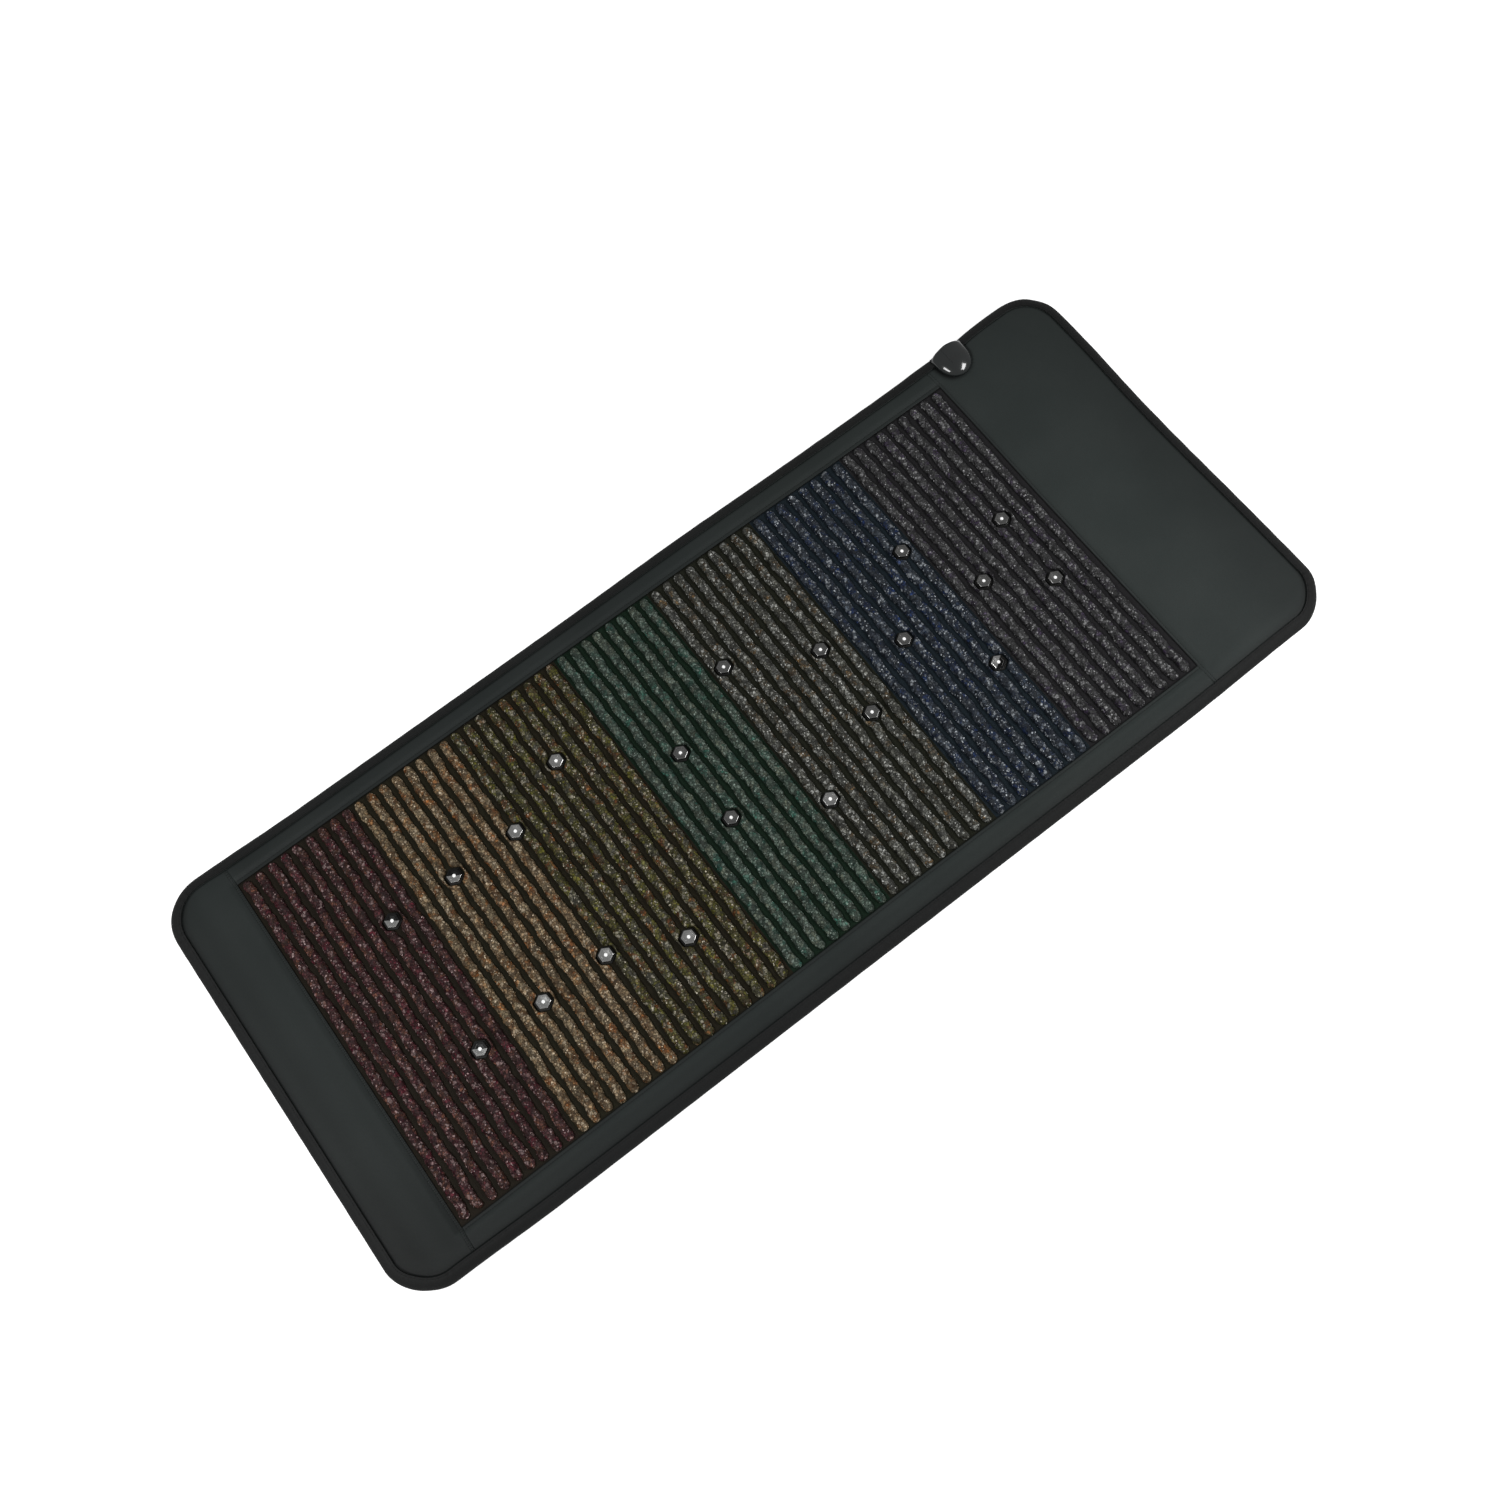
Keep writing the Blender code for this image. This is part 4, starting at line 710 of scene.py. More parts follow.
def build_end_panels():
    """The head and foot panels, which reach across the whole mat."""
    radius = CORNER_RADIUS - CLOSE_TO_EDGE
    corner_x = HALF_LENGTH - CORNER_RADIUS
    shares = np.linspace(-1, 1, 151)[1:-1]
    for side, seam, name in ((1, WINDOW_X1, "head_panel"), (-1, WINDOW_X0, "foot_panel")):
        start = abs(seam)
        close = start + EDGE_DISTANCES[EDGE_DISTANCES < 0.017]
        middle = np.linspace(start + 0.020, corner_x, 46 if side > 0 else 8)
        turned = corner_x + radius * np.sin(np.linspace(0, math.pi / 2, 26)[1:-1] * 0.988)
        xs = side * np.concatenate((close, middle, turned))
        half = outline_half_width(xs, CLOSE_TO_EDGE)[:, None]
        y = np.concatenate((EDGE_ROWS - half, (half - 0.0150) * shares, (half - EDGE_ROWS)[:, ::-1]), axis=1)
        x = np.repeat(xs[:, None], y.shape[1], axis=1)
        piece = panel(name, x, y)
        if side > 0:
            cut(piece, dee_mesh(CONNECTOR_HALF - CONNECTOR_LEDGE, 0.001))


def dee_loop(half, end_y, z, corner=0.0008, bulge=0.0, nose=1.0):
    """The connector's outline: a flat or bulging end with round corners, straight sides and a half circle."""
    points = []
    for side, first in ((1, 0), (-1, 1)):
        for step in range(DEE_CORNER_STEPS + 1):
            angle = math.pi / 2 * (first + step / DEE_CORNER_STEPS)
            x = side * (half - corner) + corner * math.cos(angle)
            points.append((CONNECTOR_X + x, end_y - corner + corner * math.sin(angle), z))
        if side > 0 and bulge:
            for across in np.cos(np.linspace(0, math.pi, 15))[1:-1]:
                points.append((CONNECTOR_X + (half - corner) * across, end_y + bulge * (1 - across**2), z))
    for step in range(DEE_STEPS + 1):
        angle = math.pi * (1 + step / DEE_STEPS)
        y = CONNECTOR_END_Y - CONNECTOR_STRAIGHT + nose * half * math.sin(angle)
        points.append((CONNECTOR_X + half * math.cos(angle), y, z))
    return points


def loft(name, loops, sharp=None):
    """A closed mesh through loops of as many points each, capped at both ends."""
    points = np.array(loops, float).reshape(-1, 3)
    return mesh_of(name, points, closed_faces(len(loops), len(loops[0])), sharp)


def dee_mesh(half, bottom):
    """An upright prism on the connector's outline that runs on past its flat end and its top."""
    return loft("dee", [dee_loop(half, CONNECTOR_END_Y + 0.03, z) for z in (bottom, 0.05)])


def outline_points():
    """Points round the outline and the way out at each, anticlockwise from the far side of the connector."""
    points, ways = [], []

    def line(a, b, way):
        count = max(2, int(math.dist(a, b) / OUTLINE_SPACING))
        for step in range(count):
            share = step / count
            points.append((a[0] + (b[0] - a[0]) * share, a[1] + (b[1] - a[1]) * share))
            ways.append(way)

    def on_corner(centre, way):
        return centre[0] + CORNER_RADIUS * way[0], centre[1] + CORNER_RADIUS * way[1]

    way = (0, 1)
    place = (CONNECTOR_X - POCKET_HALF, HALF_WIDTH)
    for quarter, (side_x, side_y) in enumerate(((-1, 1), (-1, -1), (1, -1), (1, 1)), start=1):
        centre = side_x * (HALF_LENGTH - CORNER_RADIUS), side_y * (HALF_WIDTH - CORNER_RADIUS)
        line(place, on_corner(centre, way), way)
        for step in range(CORNER_STEPS):
            angle = math.pi / 2 * (quarter % 4 + step / CORNER_STEPS)
            ways.append((math.cos(angle), math.sin(angle)))
            points.append(on_corner(centre, ways[-1]))
        way = (-way[1], way[0])
        place = on_corner(centre, way)
    end = (CONNECTOR_X + POCKET_HALF, HALF_WIDTH)
    line(place, end, way)
    points.append(end)
    ways.append(way)
    return np.array(points), np.array(ways)


def rim_place(angle, offset, up=True):
    """How far in from the outline, and how high, a place on the rim's ellipse is, moved out by an offset."""
    a = math.radians(angle)
    half_height = TOP_LEVEL - RIM_HEIGHT if up else RIM_HEIGHT - EDGE_INSET
    across, upward = math.cos(a) / RIM_REACH, math.sin(a) / half_height
    length = math.hypot(across, upward)
    inset = EDGE_INSET + RIM_REACH * (1 - math.cos(a)) - offset * across / length
    height = half_height * math.sin(a) + offset * upward / length
    return inset, RIM_HEIGHT + (height if up else -height)


def along(points):
    """How far along a chain of points each one is."""
    steps = np.hypot(*np.diff(points, axis=0).T)
    return np.concatenate(([0.0], np.cumsum(steps)))


# Angles up and down the rim's section at which the binding has its lines of points, and where it is sewn
BINDING_TOPS = (76, 74.5, 72, 69, 66, 61, 54, 44, 33, 22, 11)
BINDING_BOTTOMS = (0, 12, 26, 40, 54, 66, 74, 80)
STITCH_ANGLE = 68.5


def build_binding():
    """The binding tape, folded over the rim, puckered along its stitches and gathered at the corners."""
    points, ways = outline_points()
    distance = along(points)
    in_corner = (np.abs(ways[:, 0] * ways[:, 1]) > 1e-6).astype(float)
    gathers = in_corner * np.sin(distance * 2 * math.pi / 0.0085)
    pucker = 0.00022 * waves(21, 0.013, distance) + 0.00022 * gathers
    swell = 0.00018 * waves(22, 0.055, distance)
    section = [(angle, True) for angle in BINDING_TOPS] + [(angle, False) for angle in BINDING_BOTTOMS]
    # Painted shade on the binding's near and head sides, over its top
    painted_side_shade = 0.38 * np.maximum(-ways[:, 1], 0) + 0.42 * np.maximum(ways[:, 0], 0)
    rows, shades = [], []
    for outer in (True, False):
        for angle, up in section if outer else section[::-1]:
            shades.append(painted_side_shade * (rise(angle, 15, 50) if up else 0))
            inset, height = rim_place(angle, BINDING_THICKNESS + GAP if outer else GAP, up)
            lift = np.zeros(len(points))
            if outer:
                lift = rise(angle, 30, 40) * (1 if up else 0.5) * pucker + swell * 0.6
            if outer and up:
                lift = lift - 0.00035 * bell(angle, STITCH_ANGLE, 2.2)
            level = np.maximum(height + (lift if up else -lift), 0)
            inwards = inset - 0.5 * np.where(angle < 60, lift, 0)
            rows.append(np.column_stack((points - ways * inwards[:, None], level)))
    grid = np.stack(rows, axis=1).reshape(-1, 3)
    mesh = mesh_of("edge_binding", warp(grid), closed_faces(len(points), len(rows)), 50)
    shade_points(mesh, np.stack(shades, axis=1))
    piece = add_piece("edge_binding", mesh, BINDING_LOOK, ["edge_binding"])


# A stitch's sections: their place as a share of half its length, share of the full thickness, and height
STITCH_SECTIONS = (
    (-1.0, 0.30, -0.00042), (-0.62, 0.85, -0.00002), (0.0, 1.0, 0.00010),
    (0.62, 0.85, -0.00002), (1.0, 0.30, -0.00042),
)


def stitches(name, routes):
    """Sewn stitches along routes of places on a surface, each a short thread that dives in at both ends."""
    sides = 6
    turn = 2 * math.pi * np.arange(sides) / sides
    pattern = closed_faces(len(STITCH_SECTIONS), sides)
    rings, faces = [], []
    for route in routes:
        distance = along(route[:, :2])
        places = np.arange(STITCH_PITCH / 2, distance[-1], STITCH_PITCH)
        centre, ahead, behind = (
            np.column_stack([np.interp(places + shift, distance, route[:, i]) for i in range(3)])
            for shift in (0.0, 0.0005, -0.0005)
        )
        way = ahead - behind
        way[:, 2] = 0
        way /= np.linalg.norm(way, axis=1)[:, None]
        side = np.column_stack((-way[:, 1], way[:, 0], np.zeros(len(way))))
        for c, w, s in zip(centre, way, side):
            first = len(rings) * sides
            faces += [[index + first for index in face] for face in pattern]
            for share, full, z in STITCH_SECTIONS:
                ring = c + w * share * STITCH_LENGTH / 2 + np.outer(np.cos(turn), s) * THREAD_RADIUS * full
                ring[:, 2] += z + np.sin(turn) * THREAD_RADIUS * full
                rings.append(ring)
    mesh = mesh_of(name, warp(np.concatenate(rings)), faces)
    return add_piece(name, mesh, THREAD_LOOK)


def on_leather(xs, ys):
    """A route over the leather."""
    xs, ys = np.broadcast_arrays(xs, ys)
    return np.column_stack((xs, ys, border_height(xs, ys) + 0.0002))


def build_stitches():
    """The binding's stitches, the rows at the two seams and the hems' rows beside the window."""
    points, ways = outline_points()
    inset, height = rim_place(STITCH_ANGLE, BINDING_THICKNESS + GAP)
    heights = np.full(len(points), height - 0.0001)
    stitches("stitches_binding", [np.column_stack((points - ways * inset, heights))])
    limit = HALF_WIDTH - 0.0215
    ys = np.linspace(-limit, limit, 400)
    stitches("stitches_seams", [on_leather(line, ys) for line in SEAM_LINES])
    xs = np.linspace(WINDOW_X0 + 0.003, WINDOW_X1 - 0.003, 700)
    reach = WINDOW_HALF + HEM_STITCH
    stitches("stitches_hems", [on_leather(xs, WINDOW_MIDDLE + side * reach) for side in (-1, 1)])


def build_bottom_cover():
    """The underside sheet: flat on the floor, stepped up under the binding and curved up to the rim."""
    inset = 0.0045
    corner_x = HALF_LENGTH - CORNER_RADIUS
    turned = corner_x + (CORNER_RADIUS - inset) * np.sin(np.linspace(0, math.pi / 2, 24)[1:-1] * 0.985)
    xs = np.concatenate((-turned[::-1], np.linspace(-corner_x, corner_x, 120), turned))
    edge = np.array([0, 0.004, 0.009, 0.015, 0.021, 0.024, 0.028, 0.032, 0.037])
    half = outline_half_width(xs, inset)[:, None]
    flat = np.linspace(-1, 1, 60)[1:-1] * (half - 0.040)
    y = np.concatenate((edge - half, flat, (half - edge)[:, ::-1]), axis=1)
    x = np.repeat(xs[:, None], y.shape[1], axis=1)
    inside = inside_outline(x, y) - EDGE_INSET
    low = rim_height(inside, EDGE_INSET - RIM_HEIGHT)
    low = low * (1 - rise(inside, RIM_REACH, 0.008))
    mesh = slab_mesh("bottom_cover", x, y, low + LEATHER_THICKNESS, low)
    # An even painted shade that takes the painted-light lift back off, for the leather's own colour
    shade_points(mesh, np.full(len(mesh.vertices), (1 - 1 / PAINTED_LIGHT_LIFT) / (1 - DARKEST)))
    piece = add_piece("bottom_cover", mesh, LEATHER_LOOK, ["bottom_cover"])
    cut(piece, dee_mesh(CONNECTOR_HALF + 2 * GAP, -0.01))


def light_shift(x):
    """How far the lights stand from their places across the window."""
    return -0.0021 + 0.0019 * rise(x, -0.10, 0.25)


def light_places():
    """Where each light element stands, in the CAD's order."""
    places = []
    for channel, offset in LIGHT_ROWS:
        x = FIRST_TUBE_X + TUBE_PITCH * (channel + 0.5)
        sides = (-1, 1) if offset else (1,)
        places += [(x, WINDOW_MIDDLE + light_shift(x) + side * offset) for side in sides]
    return places


def flange_reach(distance):
    """Half the room that a light's flange takes across X at a distance along Y from its middle."""
    half = FLANGE_HALF + FLANGE_CLEARANCE
    return half * np.clip(2 - np.abs(distance) * math.sqrt(3) / half, 0, 1)


def light_room(distance):
    """Half the room that the channels leave a light: a little more than its flange's, and a soft pinch."""
    reach = flange_reach(distance)
    soft = 0.5 * (reach + 0.0046 * bell(distance, 0, 0.016) + np.maximum(reach, 0.0037))
    return np.maximum(reach, np.where(np.abs(distance) < 0.03, soft, 0))


def tube_edges(number, y):
    """A channel's two edges along Y, which wander, swell and make room for the lights beside them."""
    centre = FIRST_TUBE_X + TUBE_PITCH * number
    wander = centre + 0.0007 * waves(900 + number, 0.075, y)
    edges = []
    for side, seed in ((-1, 1000 + number), (1, 1100 + number)):
        swell = 1 + 0.05 * waves(seed, 0.022, y) + 0.04 * waves(seed + 300, 0.009, y)
        edges.append(wander + side * TUBE_WIDTH / 2 * swell)
    left, right = edges
    for light_x, light_y in light_places():
        room = light_room(y - light_y)
        if abs(light_x - centre - TUBE_PITCH / 2) < 0.001:
            right = np.minimum(right, np.where(room > 0, light_x - room, np.inf))
        if abs(light_x - centre + TUBE_PITCH / 2) < 0.001:
            left = np.maximum(left, np.where(room > 0, light_x + room, -np.inf))
    kernel = np.hanning(9) / np.hanning(9).sum()
    return [np.convolve(np.pad(edge, 4, mode="edge"), kernel, "valid") for edge in (left, right)]


def tube(number):
    """One stone-filled channel: its points and faces."""
    rng = np.random.default_rng(500 + number)
    ends = TUBE_HALF - rng.uniform(0.000, 0.0026, 2)
    ends[0] += NEAR_TUBE_EXTRA - 0.0030 * (1 - rise(number, 4, 6))
    y = np.linspace(WINDOW_MIDDLE - ends[0], WINDOW_MIDDLE + ends[1], TUBE_ROWS)
    left, right = tube_edges(number, y)
    from_end = np.minimum(y - y[0], y[-1] - y)
    taper = 0.12 + 0.88 * np.sqrt(1 - (1 - np.clip(from_end / TUBE_END_ROUND, 0, 1)) ** 2)
    middle, half = (left + right) / 2, (right - left) / 2 * taper
    base = NET_TOP + NET_CLEARANCE
    fullness = (1 + 0.05 * waves(1200 + number, 0.030, y)) * np.minimum(1, 0.25 + 0.75 * taper)
    height = (TUBE_TOP - base) * 0.97 * fullness
    angle = np.linspace(math.pi, 0, TUBE_COLUMNS)
    across = np.sign(np.cos(angle)) * np.abs(np.cos(angle)) ** (2 / TUBE_SQUARENESS)
    upward = np.sin(angle) ** (2 / TUBE_SQUARENESS)
    along_y, round_it = np.meshgrid(y, angle * CHIP_ARC_RADIUS, indexing="ij")
    layers = [proud * chips(number * 7 + seed, along_y, round_it, size) for seed, size, proud in CHIP_LAYERS]
    proud = sum(layers) * np.clip(half / 0.006, 0.3, 1)[:, None]
    x = middle[:, None] + across[None, :] * half[:, None] + np.cos(angle)[None, :] * proud
    z = np.maximum(base + upward[None, :] * height[:, None] + np.sin(angle)[None, :] * proud, base)
    z[:, [0, -1]] = base
    return np.stack((x, along_y, z), axis=2).reshape(-1, 3), closed_faces(TUBE_ROWS, TUBE_COLUMNS)


def build_netting(name, tint, first, count):
    """The strip of netting under one group of channels."""
    x0 = FIRST_TUBE_X + TUBE_PITCH * (first - 0.5) + (0 if first else -0.003)
    x1 = FIRST_TUBE_X + TUBE_PITCH * (first + count - 0.5) + (0.006 if name == "violet" else 0)
    xs = np.linspace(x0 + 0.0002, x1 - 0.0002, 60)
    ys = WINDOW_MIDDLE + np.linspace(-WINDOW_HALF - HEM_LAP, WINDOW_HALF + HEM_LAP, 140)
    x, y = np.meshgrid(xs, ys, indexing="ij")
    top = NET_TOP - NET_CLEARANCE + 0.00002 * waves(40 + first, 0.02, x, y)
    web = slab_mesh("mesh_" + name, x, y, top, top - NET_THICKNESS)
    # Painted shade on the netting beside the hems, the shadow under their edges
    from_hem = WINDOW_HALF - np.abs(y - WINDOW_MIDDLE)
    shade_points(web, np.tile((0.95 * (1 - rise(from_hem, 0, 0.0035))).ravel(), 2))
    web_piece = add_piece("mesh_" + name, web, mesh_look(name + "_mesh", tint))


def build_bands():
    """Seven sewn groups of stone-filled channels, each on its strip of netting."""
    first = 0
    for name, count, tint, dark, hues, pale in BANDS:
        points, faces = [], []
        for number in range(first, first + count):
            tube_points, tube_faces = tube(number)
            start = len(points) * len(tube_points)
            points.append(tube_points)
            faces += [[index + start for index in face] for face in tube_faces]
        stone, channels = name + "_stone", "gem_channels_" + name
        mesh = mesh_of(channels, warp(np.concatenate(points)), faces)
        piece = add_piece(channels, mesh, stone_look(stone, dark, hues, pale), [channels])
        build_netting(name, tint, first, count)
        first += count


def hexagon(flats, z):
    """A hexagon with rounded corners, two of them towards plus and minus Y, clockwise from the first."""
    corner = min(0.0012, flats * 0.1)
    radius = (flats - 2 * corner) / math.sqrt(3)
    points = []
    for k in range(6):
        middle = math.pi * k / 3
        for turn in (-1, -0.4, 0.4, 1):
            angle = middle + turn * math.pi / 6
            x = radius * math.sin(middle) + corner * math.sin(angle)
            y = radius * math.cos(middle) + corner * math.cos(angle)
            points.append((x, y, z))
    return points


# A light element's steps from its foot up: width across the flats or radius, and height
FLANGE_STEPS = 6
LIGHT_STEPS = (
    (0.0076, 0.0160), (0.0076, 0.0169), (0.0284, 0.0169), (0.0290, 0.0174), (0.0290, 0.0183),
    (0.0283, 0.0188), (0.0236, 0.0189), (0.0229, 0.0194), (0.0228, 0.0233), (0.0222, 0.0240),
    (0.0212, 0.0243), (0.0162, 0.0242), (0.0160, 0.0237), (0.0153, 0.0237), (0.0150, 0.02415),
    (0.0120, 0.0240), (0.0090, 0.0238),
)
LENS_STEPS = (
    (0.0031, 0.0237), (0.0030, 0.0231), (0.0025, 0.0231), (0.0024, 0.0241), (0.0021, 0.0247),
    (0.0015, 0.0251), (0.0007, 0.0252),
)

# The lights whose dish is painted dimmer than the rest, as a dimmer reflection, those painted dark on one
# side as a dark reflection, with the way to that side, and the level above which their metal is the dish's
PAINTED_DIM_LIGHTS = (9, 10, 12, 13, 14, 15, 17, 18, 19, 20)
DARK_SIDES = {1: (0.59, 0.75), 2: (0.59, 0.75), 4: (0.59, 0.75), 16: (0.80, -0.60)}
DISH_LEVEL = 0.0236


def shade_side(mesh, place, way):
    """Paint a dark reflection on one side of a light's dish: its metal faces there get the darker metal."""
    for face in mesh.polygons:
        away = face.center.x - place[0], face.center.y - place[1]
        towards = away[0] * way[0] + away[1] * way[1] > 0
        if face.material_index == 1 and face.center.z > DISH_LEVEL and towards:
            face.material_index = 3


def build_lights():
    """Twenty light elements: a black hexagonal flange, a stepped metal body and a clear round lens."""
    loops = [hexagon(flats, z) for flats, z in LIGHT_STEPS]
    sides = len(loops[0])
    # A hexagon has four points at each corner, so its first corner lies between its points 1 and 2
    round_angles = [math.pi / 2 + 2 * math.pi * (1.5 - side) / sides for side in range(sides)]
    for radius, z in LENS_STEPS:
        loops.append([(radius * math.cos(angle), radius * math.sin(angle), z) for angle in round_angles])
    points = np.array(loops, float).reshape(-1, 3)
    faces = closed_faces(len(loops), sides)
    # The face's material: 0 for the flange, 1 for the body, 2 for the lens
    body_steps = len(LIGHT_STEPS) + 1 - FLANGE_STEPS
    step_kinds = [0] * FLANGE_STEPS + [1] * body_steps + [2] * (len(LENS_STEPS) - 2)
    kinds = [kind for kind in step_kinds for _ in range(sides)] + [0, 2]
    rng = np.random.default_rng(31)
    places = warp(np.array([(x, y, 0.0) for x, y in light_places()]))
    for number, place in enumerate(places, start=1):
        tilt_x, tilt_y, spin = rng.uniform(-1, 1, 3) * (LIGHT_TILT, LIGHT_TILT, 0.05)
        turned = points.copy()
        high = np.clip((points[:, 2] - 0.0184) / 0.0060, 0, 1)
        turned[:, 0] = points[:, 0] * math.cos(spin) - points[:, 1] * math.sin(spin)
        turned[:, 1] = points[:, 0] * math.sin(spin) + points[:, 1] * math.cos(spin)
        turned[:, 2] += high * (tilt_x * turned[:, 0] + tilt_y * turned[:, 1])
        name = f"light_{number:02d}"
        mesh = mesh_of(name, turned + place, faces, 25)
        mesh.polygons.foreach_set("material_index", kinds)
        if number in DARK_SIDES:
            shade_side(mesh, place, DARK_SIDES[number])
        body_look = PAINTED_DIM_BODY_LOOK if number in PAINTED_DIM_LIGHTS else BODY_LOOK
        add_piece(name, mesh, [FLANGE_LOOK, body_look, LENS_LOOK, DARK_BODY_LOOK], [name])


def dome_section(angle, height):
    """At an angle up the dome's section: the share that is left of its outline's width, and its level."""
    a = math.radians(angle)
    return math.cos(a) ** DOME_POWER, DOME_FOOT + height * math.sin(a) ** DOME_POWER


def connector_crease(y):
    """One section of the narrow groove along the dome: a wedge that starts just under its surface."""
    beyond = min(y - CONNECTOR_END_Y + CONNECTOR_STRAIGHT, 0) / CONNECTOR_NOSE
    share = math.hypot(CREASE_X - CONNECTOR_X, beyond) / CONNECTOR_HALF
    up = CONNECTOR_DOME * (1 - min(share, 1) ** (2 / DOME_POWER)) ** (DOME_POWER / 2)
    z = DOME_FOOT + up - 0.0004
    return [(CREASE_X + side * 0.0006, y, z + 0.0010) for side in (-1, 1)] + [(CREASE_X, y, z)]


def connector_hollow():
    """The room for the board inside the connector's upper shell."""
    half = CONNECTOR_HALF - CONNECTOR_LEDGE - CONNECTOR_WALL
    end_y = CONNECTOR_END_Y - CONNECTOR_WALL
    loops = [dee_loop(half, end_y, z, 0.004) for z in (0.005, DOME_FOOT)]
    for angle in (20, 40, 60, 76):
        share, up = dome_section(angle, CONNECTOR_DOME - CONNECTOR_WALL)
        loops.append(dee_loop(half * share, end_y, up, 0.004 * share))
    return loft("hollow", loops)


def socket_opening():
    """The opening for the socket in the connector's flat end."""
    socket_low, socket_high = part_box("socket_insert")
    x0, x1 = socket_low.x - GAP, socket_high.x + GAP
    y0, y1 = CONNECTOR_END_Y - 0.02, CONNECTOR_END_Y + 0.01
    socket_z, socket_half = TOP_LEVEL + SOCKET_LIFT, SOCKET_HEIGHT / 2 + GAP
    levels = (socket_z - socket_half, socket_z + socket_half)
    return loft("opening", [[(x0, y0, z), (x1, y0, z), (x1, y1, z), (x0, y1, z)] for z in levels])


def build_connector():
    """The connector's domed upper shell, with a hollow for its board and an opening for the socket."""
    name, nose = "connector_upper_shell", CONNECTOR_NOSE
    levels = (SHELL_FOOT, 0.0160, DOME_FOOT - 0.0010)
    loops = [dee_loop(CONNECTOR_HALF, CONNECTOR_END_Y, z, bulge=0.0001, nose=nose) for z in levels]
    for angle in (0, 6, 12, 20, 28, 36, 44, 52, 60, 67, 73, 79, 84, 88):
        share, up = dome_section(angle, CONNECTOR_DOME)
        corner = 0.010 * share if angle else 0.0060
        bulge = CONNECTOR_BULGE * share
        loops.append(dee_loop(CONNECTOR_HALF * share, CONNECTOR_END_Y, up, corner, bulge, nose))
    piece = add_piece(name, loft(name, loops, 40), SHELL_LOOK, [name])
    cut(piece, envelope_mesh())
    ys = np.linspace(CREASE_START_Y, CONNECTOR_END_Y + 0.004, 30)
    cut(piece, loft("crease", [connector_crease(y) for y in ys]))
    cut(piece, connector_hollow())
    cut(piece, socket_opening())
    piece.data.shade_smooth()
    piece.data.set_sharp_from_angle(angle=math.radians(35))


def envelope_mesh():
    """The space that the mat fills under the connector's skirt, outside the connector's pocket."""
    xs = np.linspace(CONNECTOR_X - 0.05, CONNECTOR_X + 0.05, 24)
    ys = np.concatenate((np.linspace(0.33, 0.375, 12), np.linspace(0.377, 0.42, 40)))
    x, y = np.meshgrid(xs, ys, indexing="ij")
    cover = BINDING_THICKNESS + GAP
    over = rim_height(inside_outline(x, y) - EDGE_INSET + cover, TOP_LEVEL - RIM_HEIGHT + cover)
    past = rise(inside_outline(x, y), 0.0205, 0.002)
    top = np.maximum(over * (1 - past) + (TOP_LEVEL + 0.0009) * past, 0.0170)
    holder = link("envelope", slab_mesh("envelope", x, y, top, np.zeros_like(top), sharp=None))
    cut(holder, dee_mesh(POCKET_HALF, -0.01))
    mesh = holder.data
    bpy.data.objects.remove(holder)
    return mesh


INNER_LAYERS = (
    ("base_felt", "felt", (0.10, 0.10, 0.10)),
    ("foam_core", "foam", (0.16, 0.16, 0.17)),
    ("border_padding", "foam", (0.030, 0.030, 0.030)),
    ("shielding_foil", "foil", (0.55, 0.56, 0.58)),
    ("heater_carrier", "felt", (0.30, 0.29, 0.27)),
    ("cover_felt", "felt", (0.08, 0.08, 0.08)),
    ("gem_backing", "mesh_fabric", (0.012, 0.012, 0.012)),
)


def follow_covers(mesh):
    """Draw a layer off square as the covers are, with its holes under the lights and its top pressed down."""
    places = points_of(mesh)
    places[:, 2] -= np.where(places[:, 2] > 0.0185, PADDING_DROP, 0)
    places[:, 1] += np.where(np.abs(places[:, 1]) < 0.30, light_shift(places[:, 0]), 0)
    mesh.vertices.foreach_set("co", warp(places).ravel())
    mesh.update()


def build_inner_layers():
    """The felts, foams, foil and backing that lie between the covers."""
    for name, slot, colour in INNER_LAYERS:
        mesh = NODES[name].data.copy()
        mesh.materials.clear()
        if name in ("gem_backing", "border_padding"):
            follow_covers(mesh)
        piece = add_piece("inner_" + name, mesh, felt_look(name + "_fibre", colour), [name])


def finish_rigid_nodes():
    """Better materials for the CAD nodes that stay."""
    looks = {
        "connector_lower_shell": SHELL_LOOK,
        "socket_insert": SOCKET_LOOK,
        "connector_board": moulded_look("board_green", (0.010, 0.060, 0.030), 0.4),
        "heater_cable": moulded_look("cable_red", (0.20, 0.02, 0.015), 0.5),
        "light_harness": moulded_look("harness_white", (0.35, 0.35, 0.33), 0.45),
        "coil_leads": moulded_look("lead_grey", (0.12, 0.12, 0.12), 0.5),
        "temperature_sensor": moulded_look("sensor_black", (0.02, 0.02, 0.02), 0.4),
        "thermal_cutout": moulded_look("cutout_white", (0.5, 0.5, 0.48), 0.4),
        "pulse_coil": metal_look("coil_copper", (0.62, 0.30, 0.16), 0.35),
        "connector_screw": metal_look("screw_steel", (0.45, 0.45, 0.46), 0.3),
    }
    for name, node in NODES.items():
        look = looks.get(name) or looks.get(name.rstrip("0123456789").rstrip("_"))
        if look and not node.hide_render:
            node.data.materials.clear()
            node.data.materials.append(look)


def stand(holder, place, right, up, back):
    """Stand an object at a place, turned to three axes."""
    holder.matrix_world = Matrix.Translation(place) @ Matrix(tuple(zip(right, up, back))).to_4x4()


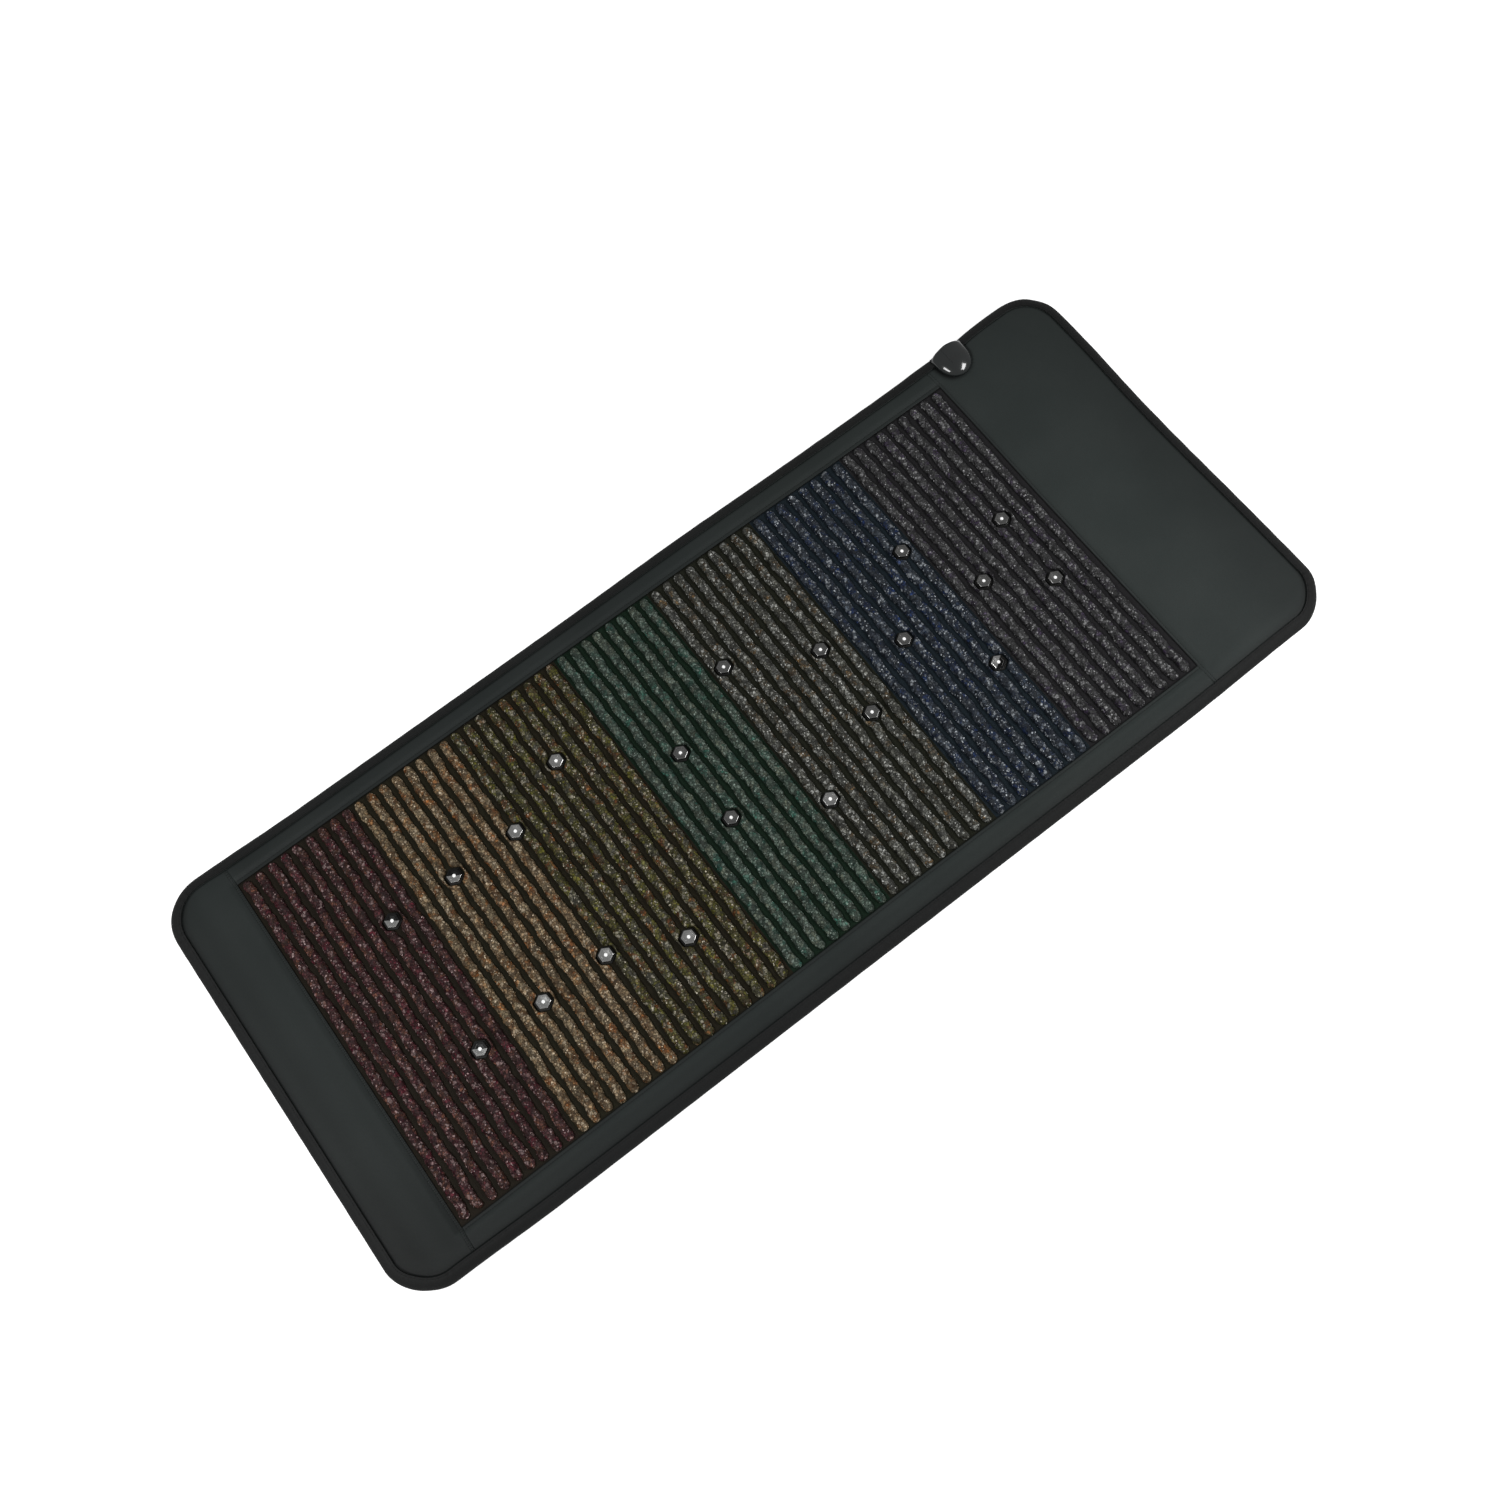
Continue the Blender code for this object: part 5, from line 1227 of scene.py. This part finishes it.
def area_light(name, place, target, size, power):
    """A soft oblong lamp that faces a target."""
    lamp = bpy.data.lights.new(name, "AREA")
    lamp.shape = "RECTANGLE"
    lamp.size, lamp.size_y = size
    lamp.energy = power
    back = np.array(place, float) - np.array(target, float)
    back /= np.linalg.norm(back)
    right = np.cross((0.0, 0.0, 1.0), back)
    right /= np.linalg.norm(right)
    stand(link(name, lamp), place, right, np.cross(back, right), back)


def build_floor():
    """A pale floor that takes the mat's shadow and glows to the camera, whitest far away."""
    look = Look("floor")
    look.set(Base_Color=(0.86, 0.86, 0.86), Roughness=0.9, Specular_IOR_Level=0.0)
    far_away = look.add("ShaderNodeVectorMath", "Value", {0: look.place}, operation="LENGTH")
    white = look.range(far_away, 1.8, 4.5, 0.62, 1.0)
    camera_ray = look.add("ShaderNodeLightPath", "Is Camera Ray")
    glow = look.add("ShaderNodeEmission", 0, {"Strength": look.math("MULTIPLY", camera_ray, white)})
    both = look.add("ShaderNodeAddShader", 0, {0: look.shader.outputs[0], 1: glow})
    look.put(look.tree.nodes["Material Output"].inputs["Surface"], both)
    mesh = bpy.data.meshes.new("floor")
    corners = [(x * 40, y * 40, -0.0002) for x, y in ((-1, -1), (1, -1), (1, 1), (-1, 1))]
    mesh.from_pydata(corners, [], [(0, 1, 2, 3)])
    mesh.materials.append(look.material)
    floor = link("floor", mesh)


# How bright the world is as a light, where the camera sees it at 1
WORLD_LIGHT = 0.292


def build_world():
    """A white world, full to the camera and dimmer as a light."""
    world = bpy.data.worlds.new("studio")
    SCENE.world = world
    world.use_nodes = True
    nodes, links = world.node_tree.nodes, world.node_tree.links
    background = nodes["Background"]
    background.inputs["Color"].default_value = (1.0, 1.0, 1.0, 1.0)
    paths = nodes.new("ShaderNodeLightPath")
    strength = nodes.new("ShaderNodeMapRange")
    strength.inputs["To Min"].default_value = WORLD_LIGHT
    strength.inputs["To Max"].default_value = 1.0
    links.new(paths.outputs["Is Camera Ray"], strength.inputs["Value"])
    links.new(strength.outputs["Result"], background.inputs["Strength"])


def build_lamps():
    """Two soft lamps, one at either side of the mat."""
    area_light("lamp_right", (1.90, -1.15, 2.05), (0.10, 0.0, 0.0), (1.5, 0.8), 44)
    area_light("lamp_left", (-2.00, -0.15, 2.60), (0.0, 0.0, 0.0), (1.8, 0.85), 54)


def build_camera():
    """The photograph's camera, fitted to points of the mat."""
    camera = bpy.data.cameras.new("camera")
    camera.lens = 36.98
    camera.sensor_width = 36.0
    SCENE.camera = link("camera", camera)
    right = (0.79716, -0.60052, -0.06259)
    up = (0.58748, 0.74754, 0.30992)
    back = (-0.13933, -0.28383, 0.94870)
    stand(SCENE.camera, (-0.36726, -0.73981, 2.51856), right, up, back)
    SCENE.view_settings.view_transform = "Standard"


build_side_strips()
build_end_panels()
build_binding()
build_stitches()
build_bottom_cover()
build_bands()
build_lights()
build_connector()
build_inner_layers()
finish_rigid_nodes()
build_floor()
build_world()
build_lamps()
build_camera()
